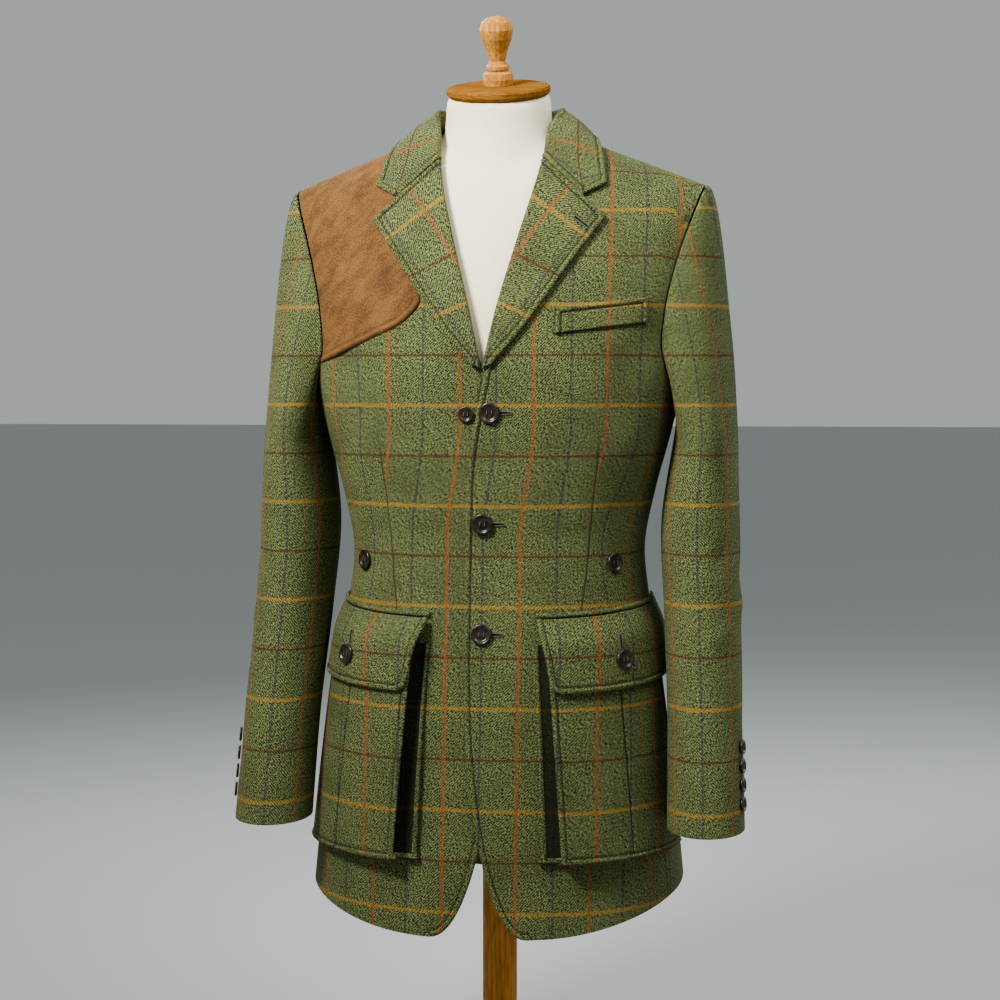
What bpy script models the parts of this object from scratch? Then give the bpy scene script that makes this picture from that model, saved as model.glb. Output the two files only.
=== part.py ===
"""A tweed blazer on its limbless dress form. Metres, +Z up, the jacket faces -Y, wearer's left is +X."""

from collections import namedtuple
from math import cos, pi, radians, sin

import bmesh
import bpy
import numpy as np
from mathutils import Vector

# Cloth
CLOTH = 0.002
SUEDE = 0.0012
SEAM_GAP = 0.0003
OVER_CLOTH = 0.0009
ARMHOLE_GAP = 0.0013

# Trunk of the jacket: rings from the hem up. Above the chest they run on behind the armholes.
Ring = namedtuple("Ring", "z half_width front_depth back_depth")
TRUNK = (
    Ring(0.205, 0.1950, 0.1623, 0.1436),
    Ring(0.312, 0.1845, 0.1500, 0.1350),
    Ring(0.392, 0.1755, 0.1430, 0.1270),
    Ring(0.470, 0.1650, 0.1340, 0.1170),
    Ring(0.540, 0.1540, 0.1240, 0.1050),
    Ring(0.590, 0.1495, 0.1200, 0.1000),
    Ring(0.648, 0.1600, 0.1240, 0.1060),
    Ring(0.700, 0.1740, 0.1280, 0.1120),
    Ring(0.745, 0.1850, 0.1300, 0.1160),
    Ring(0.830, 0.1980, 0.1280, 0.1160),
    Ring(0.890, 0.2120, 0.1240, 0.1130),
    Ring(0.960, 0.2350, 0.1200, 0.1120),
    Ring(1.040, 0.2500, 0.1180, 0.1120),
)
FRONT_SQUARENESS = 2.4
BACK_SQUARENESS = 2.5
FRONT_SHOULDER_ROUND = 2.0
BACK_SHOULDER_ROUND = 2.6
CHEST_Z = 0.745

# Shoulder line, from the neck point to the shoulder point
NECK_X = 0.065
NECK_Z = 1.011
SHOULDER_X = 0.209
SHOULDER_Z = 0.956
BACK_NECK_Z = 1.009

# Hem
FRONT_HEM_Z = 0.221
BACK_HEM_Z = 0.217
HEM_SIDE_LIFT = 0.030
HEM_FADE = 0.25
ROW_TURN = 0.045

# Long seams under the arm, as angles round the trunk from centre front
Seam = namedtuple("Seam", "z front_angle back_angle")
SEAMS = (
    Seam(0.205, 68.0, 132.0),
    Seam(0.450, 68.0, 131.0),
    Seam(0.590, 68.0, 129.5),
    Seam(0.680, 68.0, 121.0),
    Seam(0.790, 68.0, 113.0),
)
FRONT_SEAM_TOP_Z = 0.762
BACK_SEAM_TOP_Z = 0.785
BACK_CHEST_Z = 0.770
LONG_ROWS = 17
SEAM_PASSES = 4
BACK_COLUMNS = (0.0, 0.24, 0.48, 0.70, 0.86, 1.0)

# Armhole edges of the front and the back, above the long seams
Armhole = namedtuple("Armhole", "z front_x back_x")
ARMHOLE = (
    Armhole(0.762, 0.1757, 0.1790),
    Armhole(0.785, 0.1700, 0.1770),
    Armhole(0.830, 0.1725, 0.1795),
    Armhole(0.890, 0.1865, 0.1915),
    Armhole(0.930, 0.2000, 0.2020),
    Armhole(0.956, 0.2090, 0.2090),
)

# Edge of a front: straight below, roll line above the break, neckline above the gorge
Edge = namedtuple("Edge", "z x")
FRONT_EDGE = (
    Edge(0.205, -0.0175),
    Edge(0.450, -0.0175),
    Edge(0.600, -0.0170),
    Edge(0.680, -0.0130),
    Edge(0.730, -0.0045),
    Edge(0.772, 0.0042),
    Edge(0.831, 0.0170),
    Edge(0.885, 0.0315),
    Edge(0.949, 0.0480),
    Edge(0.975, 0.0535),
    Edge(1.000, 0.0605),
    Edge(1.011, 0.0650),
)
EDGE_CURVE_WIDTH = 0.064
EDGE_CURVE_HEIGHT = 0.272
LAP_DROP = CLOTH + 0.0006
LAP_INNER_X = 0.026
LAP_OUTER_X = 0.055
LAP_TOP_Z = 0.768
LAP_FADE = 0.032

# Lapel: roll line and outer edge, from the break to the gorge
LapelRow = namedtuple("LapelRow", "along roll_z edge_x edge_z")
LAPEL = (
    LapelRow(0.00, 0.772, 0.0110, 0.7755),
    LapelRow(0.20, 0.812, 0.0350, 0.8030),
    LapelRow(0.45, 0.862, 0.0640, 0.8440),
    LapelRow(0.70, 0.914, 0.0900, 0.8820),
    LapelRow(1.00, 0.975, 0.1150, 0.9170),
)
ROLL_RADIUS = 0.0023
LEAF_REST = 0.0030
GORGE_GAP = 0.0006

# Collar: half of it, from centre back towards the gorge. The stand rises from the neck seam to the fold.
CollarRow = namedtuple("CollarRow", "along seam_x seam_y seam_z stand lean edge_x edge_y")
COLLAR = (
    CollarRow(0.00, 0.0000, 0.0600, 1.0115, 0.0260, 0.00, 0.0000, 0.0735),
    CollarRow(0.20, 0.0300, 0.0520, 1.0120, 0.0260, 0.00, 0.0460, 0.0615),
    CollarRow(0.40, 0.0540, 0.0285, 1.0135, 0.0245, 0.00, 0.0830, 0.0340),
    CollarRow(0.55, 0.0615, 0.0000, 1.0150, 0.0205, 0.05, 0.0990, 0.0000),
    CollarRow(0.70, 0.0600, -0.0262, 1.0075, 0.0150, 0.30, 0.1055, -0.0250),
    CollarRow(0.85, 0.0555, -0.0478, 0.9925, 0.0085, 0.65, 0.1105, -0.0450),
)
COLLAR_BULGE = 0.0030
NOTCH_SHARE = 0.62
NOTCH_X = 0.0915
NOTCH_Z = 0.9390
COLLAR_POINT_X = 0.1140
COLLAR_POINT_Z = 0.9510
FALL_SHARES = (0.20, 0.42, NOTCH_SHARE, 0.82, 1.00)
FOLD_STEPS = 5

# Sleeves: rings below the underarm
SleeveRow = namedtuple("SleeveRow", "z centre_x centre_y half_width half_depth")
SLEEVE = (
    SleeveRow(0.322, 0.2170, -0.0950, 0.0380, 0.0500),
    SleeveRow(0.430, 0.2145, -0.0630, 0.0375, 0.0545),
    SleeveRow(0.530, 0.2100, -0.0300, 0.0385, 0.0610),
    SleeveRow(0.620, 0.2070, -0.0120, 0.0395, 0.0670),
    SleeveRow(0.700, 0.2110, -0.0040, 0.0320, 0.0730),
)
CAP_END_Z = 0.700
CAP_ROWS = (0.0, 0.06, 0.16, 0.30, 0.48, 0.72, 1.0)
CAP_SWELL = 0.45
SLEEVE_ROWS = 9
SLEEVE_BACK_SEAM = -66.0
SLEEVE_FRONT_SEAM = 150.0

# Suede patch on the wearer's right shoulder
PATCH_LOW_INNER_X = 0.058
PATCH_LOW_INNER_Z = 0.829
PATCH_LOW_OUTER_Z = 0.777
PATCH_CORNER = 0.030
PATCH_CORNER_START = 0.08
PATCH_CORNER_SHARE = 0.27
PATCH_TOP_INNER_X = 0.085
PATCH_UNDER_LAPEL = 0.012
PATCH_INSET = 0.0020
PATCH_TOP_SHARE = 0.975

# Breast welt on the wearer's left
WELT_INNER_X = 0.070
WELT_OUTER_X = 0.156
WELT_INNER_Z = 0.8165
WELT_OUTER_Z = 0.8280
WELT_HEIGHT = 0.025

# Bellows pockets and flaps, as angles round the trunk
POCKET_FRONT_ANGLE = 18.4
POCKET_FRONT_SLANT = 2.0
GUSSET_FRONT_ANGLE = 15.0
POCKET_BACK_ANGLE = 80.0
POCKET_TOP_Z = 0.503
POCKET_BOTTOM_Z = 0.294
POCKET_FRONT_DEPTH = 0.022
POCKET_BACK_DEPTH = 0.0055
POCKET_TAPER = 1.25
FLAP_FRONT_ANGLE = 15.5
FLAP_FRONT_SLANT = 3.8
FLAP_BACK_ANGLE = 100.0
FLAP_TOP_Z = 0.528
FLAP_SIDE_RISE = 0.008
FLAP_HEIGHT = 0.072
FLAP_STAND_OFF = 0.0032
PIPING_RADIUS = 0.0026

# Side vents: the back laps over the side panel
VENT_TOP_Z = 0.440
VENT_FADE = 0.030
VENT_LAP_ANGLE = 4.5
VENT_LIFT = CLOTH + 0.0008
VENT_EDGE_WIDTH = 0.035

# Buttons
FRONT_BUTTON_RADIUS = 0.0105
SIDE_BUTTON_RADIUS = 0.0100
INNER_BUTTON_RADIUS = 0.0080
CUFF_BUTTON_RADIUS = 0.0075
FrontButton = namedtuple("FrontButton", "x z lift")
FRONT_BUTTONS = (
    FrontButton(0.0080, 0.7280, 0.0005),
    FrontButton(0.0000, 0.6200, 0.0009),
    FrontButton(0.0000, 0.5125, 0.0006),
)
INNER_BUTTON_X = 0.0155
INNER_BUTTON_Z = 0.7265
WAIST_BUTTON_Z = 0.580
WAIST_FRONT_ANGLE = 53.0
WAIST_BACK_ANGLE = 123.0
FLAP_BUTTON_ANGLE = 45.5
FLAP_BUTTON_SHARE = 0.62
CUFF_BUTTON_TURN = 20.0
CUFF_BUTTON_TOP_Z = 0.402
CUFF_BUTTON_STEP = 0.0177
CUFF_BUTTONS = 4
BUTTON_SIDES = 12
BUTTON_LIFT = 0.0004
FLAP_BUTTON_LIFT = 0.0006
WAIST_FRONT_LIFT = 0.0008
WAIST_BACK_LIFT = 0.0018

# Dress form and stand
FORM_INSET = 0.009
FORM_SEAT_DROP = 0.0018
FORM_NECK_DROP = 0.005
FORM_BOTTOM_Z = 0.335
FORM_TOP_SHARE = 0.985
FORM_SHOULDER_X = 0.195
FORM_SIDES = 36
NeckRow = namedtuple("NeckRow", "z centre_y half_width half_depth tilt")
NECK = (
    NeckRow(0.930, -0.004, 0.0740, 0.0700, 0.0),
    NeckRow(0.968, -0.004, 0.0660, 0.0640, 4.0),
    NeckRow(0.995, -0.005, 0.0590, 0.0570, 8.0),
    NeckRow(1.020, -0.007, 0.0545, 0.0530, 13.0),
    NeckRow(1.048, -0.009, 0.0530, 0.0520, 16.0),
)
CAP_RADIUS = 0.0530
CAP_THICKNESS = 0.0100
CAP_ROUND = 0.0030
Turned = namedtuple("Turned", "height radius")
FINIAL = (
    Turned(0.0000, 0.0145),
    Turned(0.0060, 0.0157),
    Turned(0.0120, 0.0150),
    Turned(0.0142, 0.0106),
    Turned(0.0162, 0.0119),
    Turned(0.0192, 0.0119),
    Turned(0.0212, 0.0096),
    Turned(0.0245, 0.0084),
    Turned(0.0340, 0.0106),
    Turned(0.0460, 0.0155),
    Turned(0.0550, 0.0172),
    Turned(0.0625, 0.0148),
    Turned(0.0668, 0.0090),
    Turned(0.0682, 0.0030),
)
POLE_RADIUS = 0.018
BASE_PROFILE = (
    Turned(0.0000, 0.1960),
    Turned(0.0030, 0.2000),
    Turned(0.0160, 0.2000),
    Turned(0.0215, 0.1940),
    Turned(0.0230, 0.1860),
    Turned(0.0230, 0.0480),
    Turned(0.0260, 0.0400),
    Turned(0.0420, 0.0340),
    Turned(0.0480, 0.0300),
)
TURNED_SIDES = 28

# Materials: colour, roughness, metallic
Finish = namedtuple("Finish", "colour roughness metallic")
FINISHES = {
    "tweed": Finish((0.135, 0.155, 0.055, 1.0), 0.90, 0.0),
    "suede": Finish((0.310, 0.170, 0.060, 1.0), 0.95, 0.0),
    "horn": Finish((0.030, 0.026, 0.022, 1.0), 0.35, 0.0),
    "linen": Finish((0.860, 0.800, 0.660, 1.0), 0.80, 0.0),
    "wood": Finish((0.460, 0.210, 0.055, 1.0), 0.40, 0.0),
}


def smooth(keys, values, at):
    """Reads a smooth curve through the values at their keys."""
    keys = np.asarray(keys, float)
    values = np.asarray(values, float)
    slopes = np.gradient(values, keys)
    at = np.clip(at, keys[0], keys[-1])
    low = np.clip(np.searchsorted(keys, at, side="right") - 1, 0, len(keys) - 2)
    step = keys[low + 1] - keys[low]
    t = (at - keys[low]) / step
    start = (2 * t**3 - 3 * t**2 + 1) * values[low] + (t**3 - 2 * t**2 + t) * step * slopes[low]
    end = (3 * t**2 - 2 * t**3) * values[low + 1] + (t**3 - t**2) * step * slopes[low + 1]
    return start + end


def column(table, name, at, key="z"):
    """Reads one column of a table at a key."""
    return smooth([getattr(row, key) for row in table], [getattr(row, name) for row in table], at)


def ease(value, start, end):
    """Goes smoothly from 0 at start to 1 at end."""
    t = np.clip((value - start) / (end - start), 0.0, 1.0)
    return t * t * (3 - 2 * t)


def mix(a, b, t):
    return a + (b - a) * t


def unit(vectors):
    return vectors / np.linalg.norm(vectors, axis=-1, keepdims=True)


def stack(x, y, z):
    return np.stack(np.broadcast_arrays(x, y, z), axis=-1)


def shoulder_z(x):
    """Height of the shoulder line at a distance from the middle."""
    return NECK_Z - (np.abs(x) - NECK_X) * (NECK_Z - SHOULDER_Z) / (SHOULDER_X - NECK_X)


def trunk_depth(x, z, side, squareness, roundness, inset=0.0, half_width=None, drop=0.0):
    """Distance of the trunk from the shoulder seam's plane, to the front or the back."""
    width = column(TRUNK, "half_width", z) if half_width is None else half_width
    across = np.clip(np.abs(x) / width, 0.0, 1.0)
    level = np.clip((z - CHEST_Z) / (shoulder_z(x) - drop - CHEST_Z), 0.0, 1.0)
    closing = (1 - level**roundness) ** (1 / roundness)
    return (column(TRUNK, side, z) - inset) * (1 - across**squareness) ** (1 / squareness) * closing


def front_y(x, z):
    return -trunk_depth(x, z, "front_depth", FRONT_SQUARENESS, FRONT_SHOULDER_ROUND)


def back_y(x, z):
    return trunk_depth(x, z, "back_depth", BACK_SQUARENESS, BACK_SHOULDER_ROUND)


def on_face(depth, facing, x, z, out):
    """Points of the front or the back over (x, z), moved out along the cloth's normal, and the normals."""
    step = 0.0004
    slope_x = (depth(x + step, z) - depth(x - step, z)) / (2 * step)
    slope_z = (depth(x, z + step) - depth(x, z - step)) / (2 * step)
    normals = unit(stack(-facing * slope_x, facing * np.ones_like(slope_x), -facing * slope_z))
    return stack(x, depth(x, z), z) + normals * np.asarray(out)[..., None], normals


def on_front(x, z, out=0.0):
    return on_face(front_y, -1, x, z, np.broadcast_to(out, np.shape(x)))


def on_back(x, z, out=0.0):
    return on_face(back_y, 1, x, z, np.broadcast_to(out, np.shape(x)))


def across_at(angle, z):
    """Distance from the middle at an angle round the trunk from centre front."""
    squareness = np.where(angle <= pi / 2, FRONT_SQUARENESS, BACK_SQUARENESS)
    return column(TRUNK, "half_width", z) * np.clip(np.sin(angle), 0.0, 1.0) ** (2 / squareness)


def trunk_point(angle, z):
    x = across_at(angle, z)
    return stack(x, np.where(angle <= pi / 2, front_y(x, z), back_y(x, z)), z)


def round_trunk(angle, z, out=0.0):
    """Points of the trunk at angles from centre front, moved out, and their normals."""
    turn = 0.004
    rise = 0.0005
    along = trunk_point(angle + turn, z) - trunk_point(angle - turn, z)
    up = trunk_point(angle, z + rise) - trunk_point(angle, z - rise)
    normals = unit(np.cross(along, up))
    return trunk_point(angle, z) + normals * np.broadcast_to(out, np.shape(angle))[..., None], normals


def hem_z(angle):
    """Height of the hem, which is cut higher at the sides."""
    middle = np.where(angle <= pi / 2, FRONT_HEM_Z, BACK_HEM_Z)
    return mix(middle, (FRONT_HEM_Z + BACK_HEM_Z) / 2 + HEM_SIDE_LIFT, np.sin(angle) ** 2)


def angle_of(x, z, squareness):
    across = np.clip(np.abs(x) / column(TRUNK, "half_width", z), 0.0, 1.0)
    return np.arcsin(across ** (squareness / 2))


def make_object(name, points, faces, finish):
    """A named closed object with its material, facing out."""
    mesh = bpy.data.meshes.new(name)
    mesh.from_pydata([tuple(point) for point in points], [], faces)
    shape = bmesh.new()
    shape.from_mesh(mesh)
    bmesh.ops.recalc_face_normals(shape, faces=shape.faces)
    shape.to_mesh(mesh)
    shape.free()
    mesh.shade_smooth()
    mesh.materials.append(material(finish))
    item = bpy.data.objects.new(name, mesh)
    bpy.context.scene.collection.objects.link(item)
    return item


def material(finish):
    """The named material, made when it is first used."""
    made = bpy.data.materials.get(finish)
    if made:
        return made
    made = bpy.data.materials.new(finish)
    made.use_nodes = True
    shader = made.node_tree.nodes["Principled BSDF"]
    shader.inputs["Base Color"].default_value = FINISHES[finish].colour
    shader.inputs["Roughness"].default_value = FINISHES[finish].roughness
    shader.inputs["Metallic"].default_value = FINISHES[finish].metallic
    return made


def wall(name, outside, inside, finish):
    """A closed wall between two lattices of the same size."""
    rows, columns = outside.shape[:2]
    count = rows * columns
    index = np.arange(count).reshape(rows, columns)
    faces = []
    for row in range(rows - 1):
        for col in range(columns - 1):
            quad = [index[row, col], index[row, col + 1], index[row + 1, col + 1], index[row + 1, col]]
            faces.append([int(i) for i in quad])
            faces.append([int(count + i) for i in reversed(quad)])
    rim = list(index[0, :-1]) + list(index[:-1, -1]) + list(index[-1, :0:-1]) + list(index[:0:-1, 0])
    for first, second in zip(rim, rim[1:] + rim[:1]):
        faces.append([int(second), int(first), int(count + first), int(count + second)])
    points = np.concatenate([outside.reshape(-1, 3), inside.reshape(-1, 3)])
    return make_object(name, points, faces, finish)


def mirrored(points, side):
    """The lattice on the wearer's left (+1) or right (-1)."""
    return points * np.array([side, 1.0, 1.0])


def lathe(name, profile, place, axis, finish, sides):
    """A turned solid: profile of (height, radius) along an axis from a place."""
    turns = np.arange(sides) * 2 * pi / sides
    rings = [[(r * cos(t), r * sin(t), h) for t in turns] for h, r in profile]
    local = np.array(rings).reshape(-1, 3)
    turn = np.array(Vector((0, 0, 1)).rotation_difference(Vector(axis)).to_matrix())
    points = local @ turn.T + np.asarray(place)
    faces = [list(range(sides)), list(range((len(profile) - 1) * sides, len(profile) * sides))]
    for ring in range(len(profile) - 1):
        for k in range(sides):
            after = (k + 1) % sides
            low = ring * sides
            faces.append([low + k, low + after, low + sides + after, low + sides + k])
    return make_object(name, points, faces, finish)


def level_normals(points):
    """Normals of a shoulder seam's row: square to the seam and to the depth."""
    along = np.gradient(points, axis=0)
    upward = unit(np.cross(along, np.array([0.0, -1.0, 0.0])))
    return upward * np.sign(upward[:, 2:3])


def lap_drop(x, z):
    """How far the under front lies below the upper one near centre front."""
    return LAP_DROP * (1 - ease(x, LAP_INNER_X, LAP_OUTER_X)) * (1 - ease(z, LAP_TOP_Z, LAP_TOP_Z + LAP_FADE))


def hem_rise(angle, middle_z, z):
    """How much higher a row runs at the side seam than in the middle, less with the height."""
    return (hem_z(angle) - middle_z) * (1 - ease(z, middle_z, middle_z + HEM_FADE))


def front_lattice(rows=(9, 9, 11), columns=9):
    """(x, z) of a front: hem to chest, then chest to shoulder, by centre edge to outer edge."""
    corner = FRONT_HEM_Z + EDGE_CURVE_HEIGHT
    bend = FRONT_HEM_Z + EDGE_CURVE_HEIGHT * (1 - np.cos(np.linspace(0.0, pi / 2, rows[0])[:-1]))
    straight = np.linspace(corner, LAPEL[0].roll_z, rows[1])
    rise = np.sin(np.linspace(0.0, pi / 2, rows[2]))[1:]
    inner_z = np.concatenate([bend, straight, mix(LAPEL[0].roll_z, NECK_Z, rise)])
    split = CHEST_Z - ROW_TURN
    above = (inner_z - split) / (NECK_Z - split)
    level_z = np.where(inner_z < split, inner_z, mix(split, SHOULDER_Z, above))
    below = np.clip((corner - inner_z) / EDGE_CURVE_HEIGHT, 0.0, 1.0)
    inner_x = column(FRONT_EDGE, "x", inner_z) + EDGE_CURVE_WIDTH * (1 - np.sqrt(1 - below**2))
    seam_angle = np.radians(column(SEAMS, "front_angle", level_z))
    lift = hem_rise(seam_angle, FRONT_HEM_Z, level_z)
    outer_z = level_z + lift
    seam_x = across_at(seam_angle, outer_z)
    outer_x = np.where(outer_z < FRONT_SEAM_TOP_Z, seam_x, column(ARMHOLE, "front_x", outer_z))
    u = np.linspace(0.0, 1.0, columns)[None, :]
    x = mix(inner_x[:, None], outer_x[:, None], u)
    z = mix(inner_z[:, None], level_z[:, None], u) + lift[:, None] * u**2
    return x, z


def front_panel(name, side):
    """One front of the jacket. The wearer's left laps over the right."""
    x, z = front_lattice()
    out = -lap_drop(x, z) if side < 0 else np.zeros_like(x)
    points, normals = on_front(x, z)
    points[-1, :, 1] = -SEAM_GAP / 2
    normals[-1] = level_normals(points[-1])
    points = points + normals * out[..., None]
    wall(name, mirrored(points, side), mirrored(points - CLOTH * normals, side), "tweed")


def vent_lift(z):
    return ease(-z, -VENT_TOP_Z - VENT_FADE, -VENT_TOP_Z)


def back_rows(low_rows, high_rows):
    """Heights of the back's rows at the middle and the outer edge, and how far each is up from the chest."""
    share = np.linspace(0.0, 1.0, low_rows)
    outer = mix(BACK_HEM_Z, BACK_SEAM_TOP_Z, share)
    for _ in range(SEAM_PASSES):
        outer = mix(hem_z(np.radians(column(SEAMS, "back_angle", outer))), BACK_SEAM_TOP_Z, share)
    middle = mix(BACK_HEM_Z, BACK_CHEST_Z, share)
    rise = np.sin(np.linspace(0.0, pi / 2, high_rows))[1:]
    middle = np.concatenate([middle, np.full_like(rise, BACK_CHEST_Z)])
    outer = np.concatenate([outer, mix(BACK_SEAM_TOP_Z, SHOULDER_Z, rise)])
    return middle, outer, np.concatenate([np.zeros_like(share), rise])


def back_panel(name, side, rows=(LONG_ROWS, 10)):
    """One half of the back, with the lap of its side vent."""
    middle, outer_z, rise = back_rows(*rows)
    lap = np.radians(VENT_LAP_ANGLE) * ease(-outer_z, -VENT_TOP_Z, -VENT_TOP_Z + VENT_FADE)
    turn = SEAM_GAP / column(TRUNK, "half_width", outer_z)
    seam_x = across_at(np.radians(column(SEAMS, "back_angle", outer_z)) + turn - lap, outer_z)
    outer_x = np.where(rise > 0, column(ARMHOLE, "back_x", outer_z), seam_x)
    neck_share = NECK_X / SHOULDER_X
    u = np.concatenate([np.linspace(0.0, neck_share, 4)[:-1], mix(neck_share, 1.0, np.array(BACK_COLUMNS))])
    x = mix(SEAM_GAP, outer_x[:, None], u[None, :])
    below = mix(middle[:, None], np.minimum(outer_z, BACK_SEAM_TOP_Z)[:, None], u[None, :] ** 2)
    top_z = np.where(x[-1] < NECK_X, mix(BACK_NECK_Z, NECK_Z, (x[-1] / NECK_X) ** 2), shoulder_z(x[-1]))
    z = mix(below, top_z[None, :], rise[:, None])
    points, normals = on_back(x, z)
    seam = x[-1] >= NECK_X
    points[-1, seam, 1] = SEAM_GAP / 2
    normals[-1] = np.where(seam[:, None], level_normals(points[-1]), normals[-1])
    normals[:, 0, 0] = 0.0
    edge = ease(x, outer_x[:, None] - VENT_EDGE_WIDTH, outer_x[:, None] - VENT_EDGE_WIDTH / 2)
    points = points + normals * (VENT_LIFT * vent_lift(z) * edge)[..., None]
    wall(name, mirrored(points, side), mirrored(points - CLOTH * normals, side), "tweed")


def underarm_z(angle):
    """Top of the side panel, the floor of the armhole."""
    front = np.radians(SEAMS[-1].front_angle)
    back = np.radians(SEAMS[-1].back_angle)
    rise_front = (FRONT_SEAM_TOP_Z - CHEST_Z) * ((pi / 2 - angle) / (pi / 2 - front)) ** 2
    rise_back = (BACK_SEAM_TOP_Z - CHEST_Z) * ((angle - pi / 2) / (back - pi / 2)) ** 2
    return CHEST_Z + np.where(angle <= pi / 2, rise_front, rise_back)


def side_panel(name, side, rows=LONG_ROWS, columns=8):
    """The panel under the arm, from the hem to the floor of the armhole."""
    share = np.linspace(0.0, 1.0, rows)[:, None]
    u = np.linspace(0.0, 1.0, columns)[None, :]
    z = mix(FRONT_HEM_Z, CHEST_Z, share) + 0 * u
    for _ in range(SEAM_PASSES):
        turn = SEAM_GAP / column(TRUNK, "half_width", z)
        first = np.radians(column(SEAMS, "front_angle", z)) + turn
        angle = mix(first, np.radians(column(SEAMS, "back_angle", z)), u)
        z = mix(hem_z(angle), underarm_z(angle[-1:]), share)
    points, normals = round_trunk(angle, z)
    wall(name, mirrored(points, side), mirrored(points - CLOTH * normals, side), "tweed")


def lapel_point(along, across, out):
    """Points of the front under a lapel, moved out, with the normals and the direction across."""
    roll_z = column(LAPEL, "roll_z", along, "along")
    roll_x = column(FRONT_EDGE, "x", roll_z)
    over_x = column(LAPEL, "edge_x", along, "along") - roll_x
    over_z = column(LAPEL, "edge_z", along, "along") - roll_z
    x = roll_x + over_x * across
    z = roll_z + over_z * across
    points, normals = on_front(x, z, out)
    ahead = on_front(x + over_x * 0.01, z + over_z * 0.01)[0]
    return points, normals, unit(ahead - on_front(x, z)[0])


def lapel(name, side, rows=12, bend=6, columns=7):
    """A turned lapel: it rolls round the front's edge and lies on the front."""
    along = np.linspace(0.0, 1.0, rows)[:, None]
    base, normals, over = lapel_point(along, np.zeros((rows, 1)), 0.0)
    turn = -np.linspace(pi / 2, 3 * pi / 2, bend)[None, :, None]
    centre = base + normals * (ROLL_RADIUS - CLOTH / 2)
    spoke = np.cos(turn) * over + np.sin(turn) * normals
    gap = np.array([-SEAM_GAP, 0.0, 0.0])
    roll_out = centre + spoke * (ROLL_RADIUS + CLOTH / 2) + gap
    roll_in = centre + spoke * (ROLL_RADIUS - CLOTH / 2) + gap
    across = np.linspace(0.0, 1.0, columns)[None, 1:]
    under = mix(2 * ROLL_RADIUS - CLOTH, LEAF_REST, ease(across, 0.0, 0.5)) + 0 * along
    leaf_in = lapel_point(along, across + 0 * along, under)[0]
    leaf_out = lapel_point(along, across + 0 * along, under + CLOTH)[0]
    outside = np.concatenate([roll_out, leaf_out], axis=1)
    inside = np.concatenate([roll_in, leaf_in], axis=1)
    wall(name, mirrored(outside, side), mirrored(inside, side), "tweed")


def shoulder_surface_z(x, y):
    """Height of the shoulders over a point of the plan."""
    front = trunk_depth(x, CHEST_Z, "front_depth", FRONT_SQUARENESS, FRONT_SHOULDER_ROUND)
    back = trunk_depth(x, CHEST_Z, "back_depth", BACK_SQUARENESS, BACK_SHOULDER_ROUND)
    depth, roundness = (front, FRONT_SHOULDER_ROUND) if y < 0 else (back, BACK_SHOULDER_ROUND)
    closing = (1 - np.clip(abs(y) / depth, 0, 1) ** roundness) ** (1 / roundness)
    return CHEST_Z + closing * (shoulder_z(x) - CHEST_Z)


def fold_path(seam, stand, apex, over, edge):
    """A section through stand and fold to the start of the fall, then to the edge."""
    radius = ROLL_RADIUS + CLOTH / 2
    rim = seam + apex * (stand - radius)
    centre = rim + over * radius
    path = [seam, mix(seam, rim, 0.6)]
    for turn in np.linspace(pi, 0.0, FOLD_STEPS):
        path.append(centre + radius * (cos(turn) * over + sin(turn) * apex))
    start = path[-1]
    fall = unit(edge - start)
    lift = apex + over
    lift = unit(lift - fall * np.dot(lift, fall))
    for share in FALL_SHARES:
        path.append(mix(start, edge, share) + lift * COLLAR_BULGE * 4 * share * (1 - share))
    return np.array(path)


def gorge_frame():
    """Point, normal and direction across of the roll line at the gorge."""
    point, normal, over = lapel_point(np.array([1.0]), np.array([0.0]), 0.0)
    return point[0], normal[0], over[0]


def collar_section(along):
    """One section of the collar behind the gorge."""
    row = {name: float(column(COLLAR, name, along, "along")) for name in CollarRow._fields}
    seam = np.array([row["seam_x"], row["seam_y"], row["seam_z"]])
    rest = (LEAF_REST + CLOTH) * (1 + row["lean"])
    edge_z = shoulder_surface_z(row["edge_x"], row["edge_y"]) + rest
    edge = np.array([row["edge_x"], row["edge_y"], edge_z])
    _, normal, over = gorge_frame()
    outward = unit((edge - seam) * np.array([1.0, 1.0, 0.0]))
    apex = unit(mix(np.array([0.0, 0.0, 1.0]), -over, row["lean"]))
    across = mix(outward, normal, row["lean"])
    across = unit(across - apex * np.dot(across, apex))
    return fold_path(seam, row["stand"], apex, across, edge)


def gorge_section():
    """The collar's end: along the gorge seam to the notch, then up to the collar point."""
    point, normal, over = gorge_frame()
    upward = unit(np.cross(normal, over))
    upward = upward * np.sign(upward[2])
    radius = ROLL_RADIUS + CLOTH / 2
    seam = point - normal * CLOTH - over * 2 * SEAM_GAP
    path = list(fold_path(seam, radius + SEAM_GAP, -over, normal, point)[: 2 + FOLD_STEPS])
    roll_x = float(column(FRONT_EDGE, "x", LAPEL[-1].roll_z))
    for share in FALL_SHARES:
        to_notch = min(share / NOTCH_SHARE, 1.0)
        to_point = max((share - NOTCH_SHARE) / (1 - NOTCH_SHARE), 0.0)
        x = mix(mix(roll_x, NOTCH_X, to_notch), COLLAR_POINT_X, to_point)
        z = mix(mix(LAPEL[-1].roll_z, NOTCH_Z, to_notch), COLLAR_POINT_Z, to_point)
        path.append(on_front(np.array([x]), np.array([z]), LEAF_REST + CLOTH)[0][0])
    return np.array(path) + upward * GORGE_GAP


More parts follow.
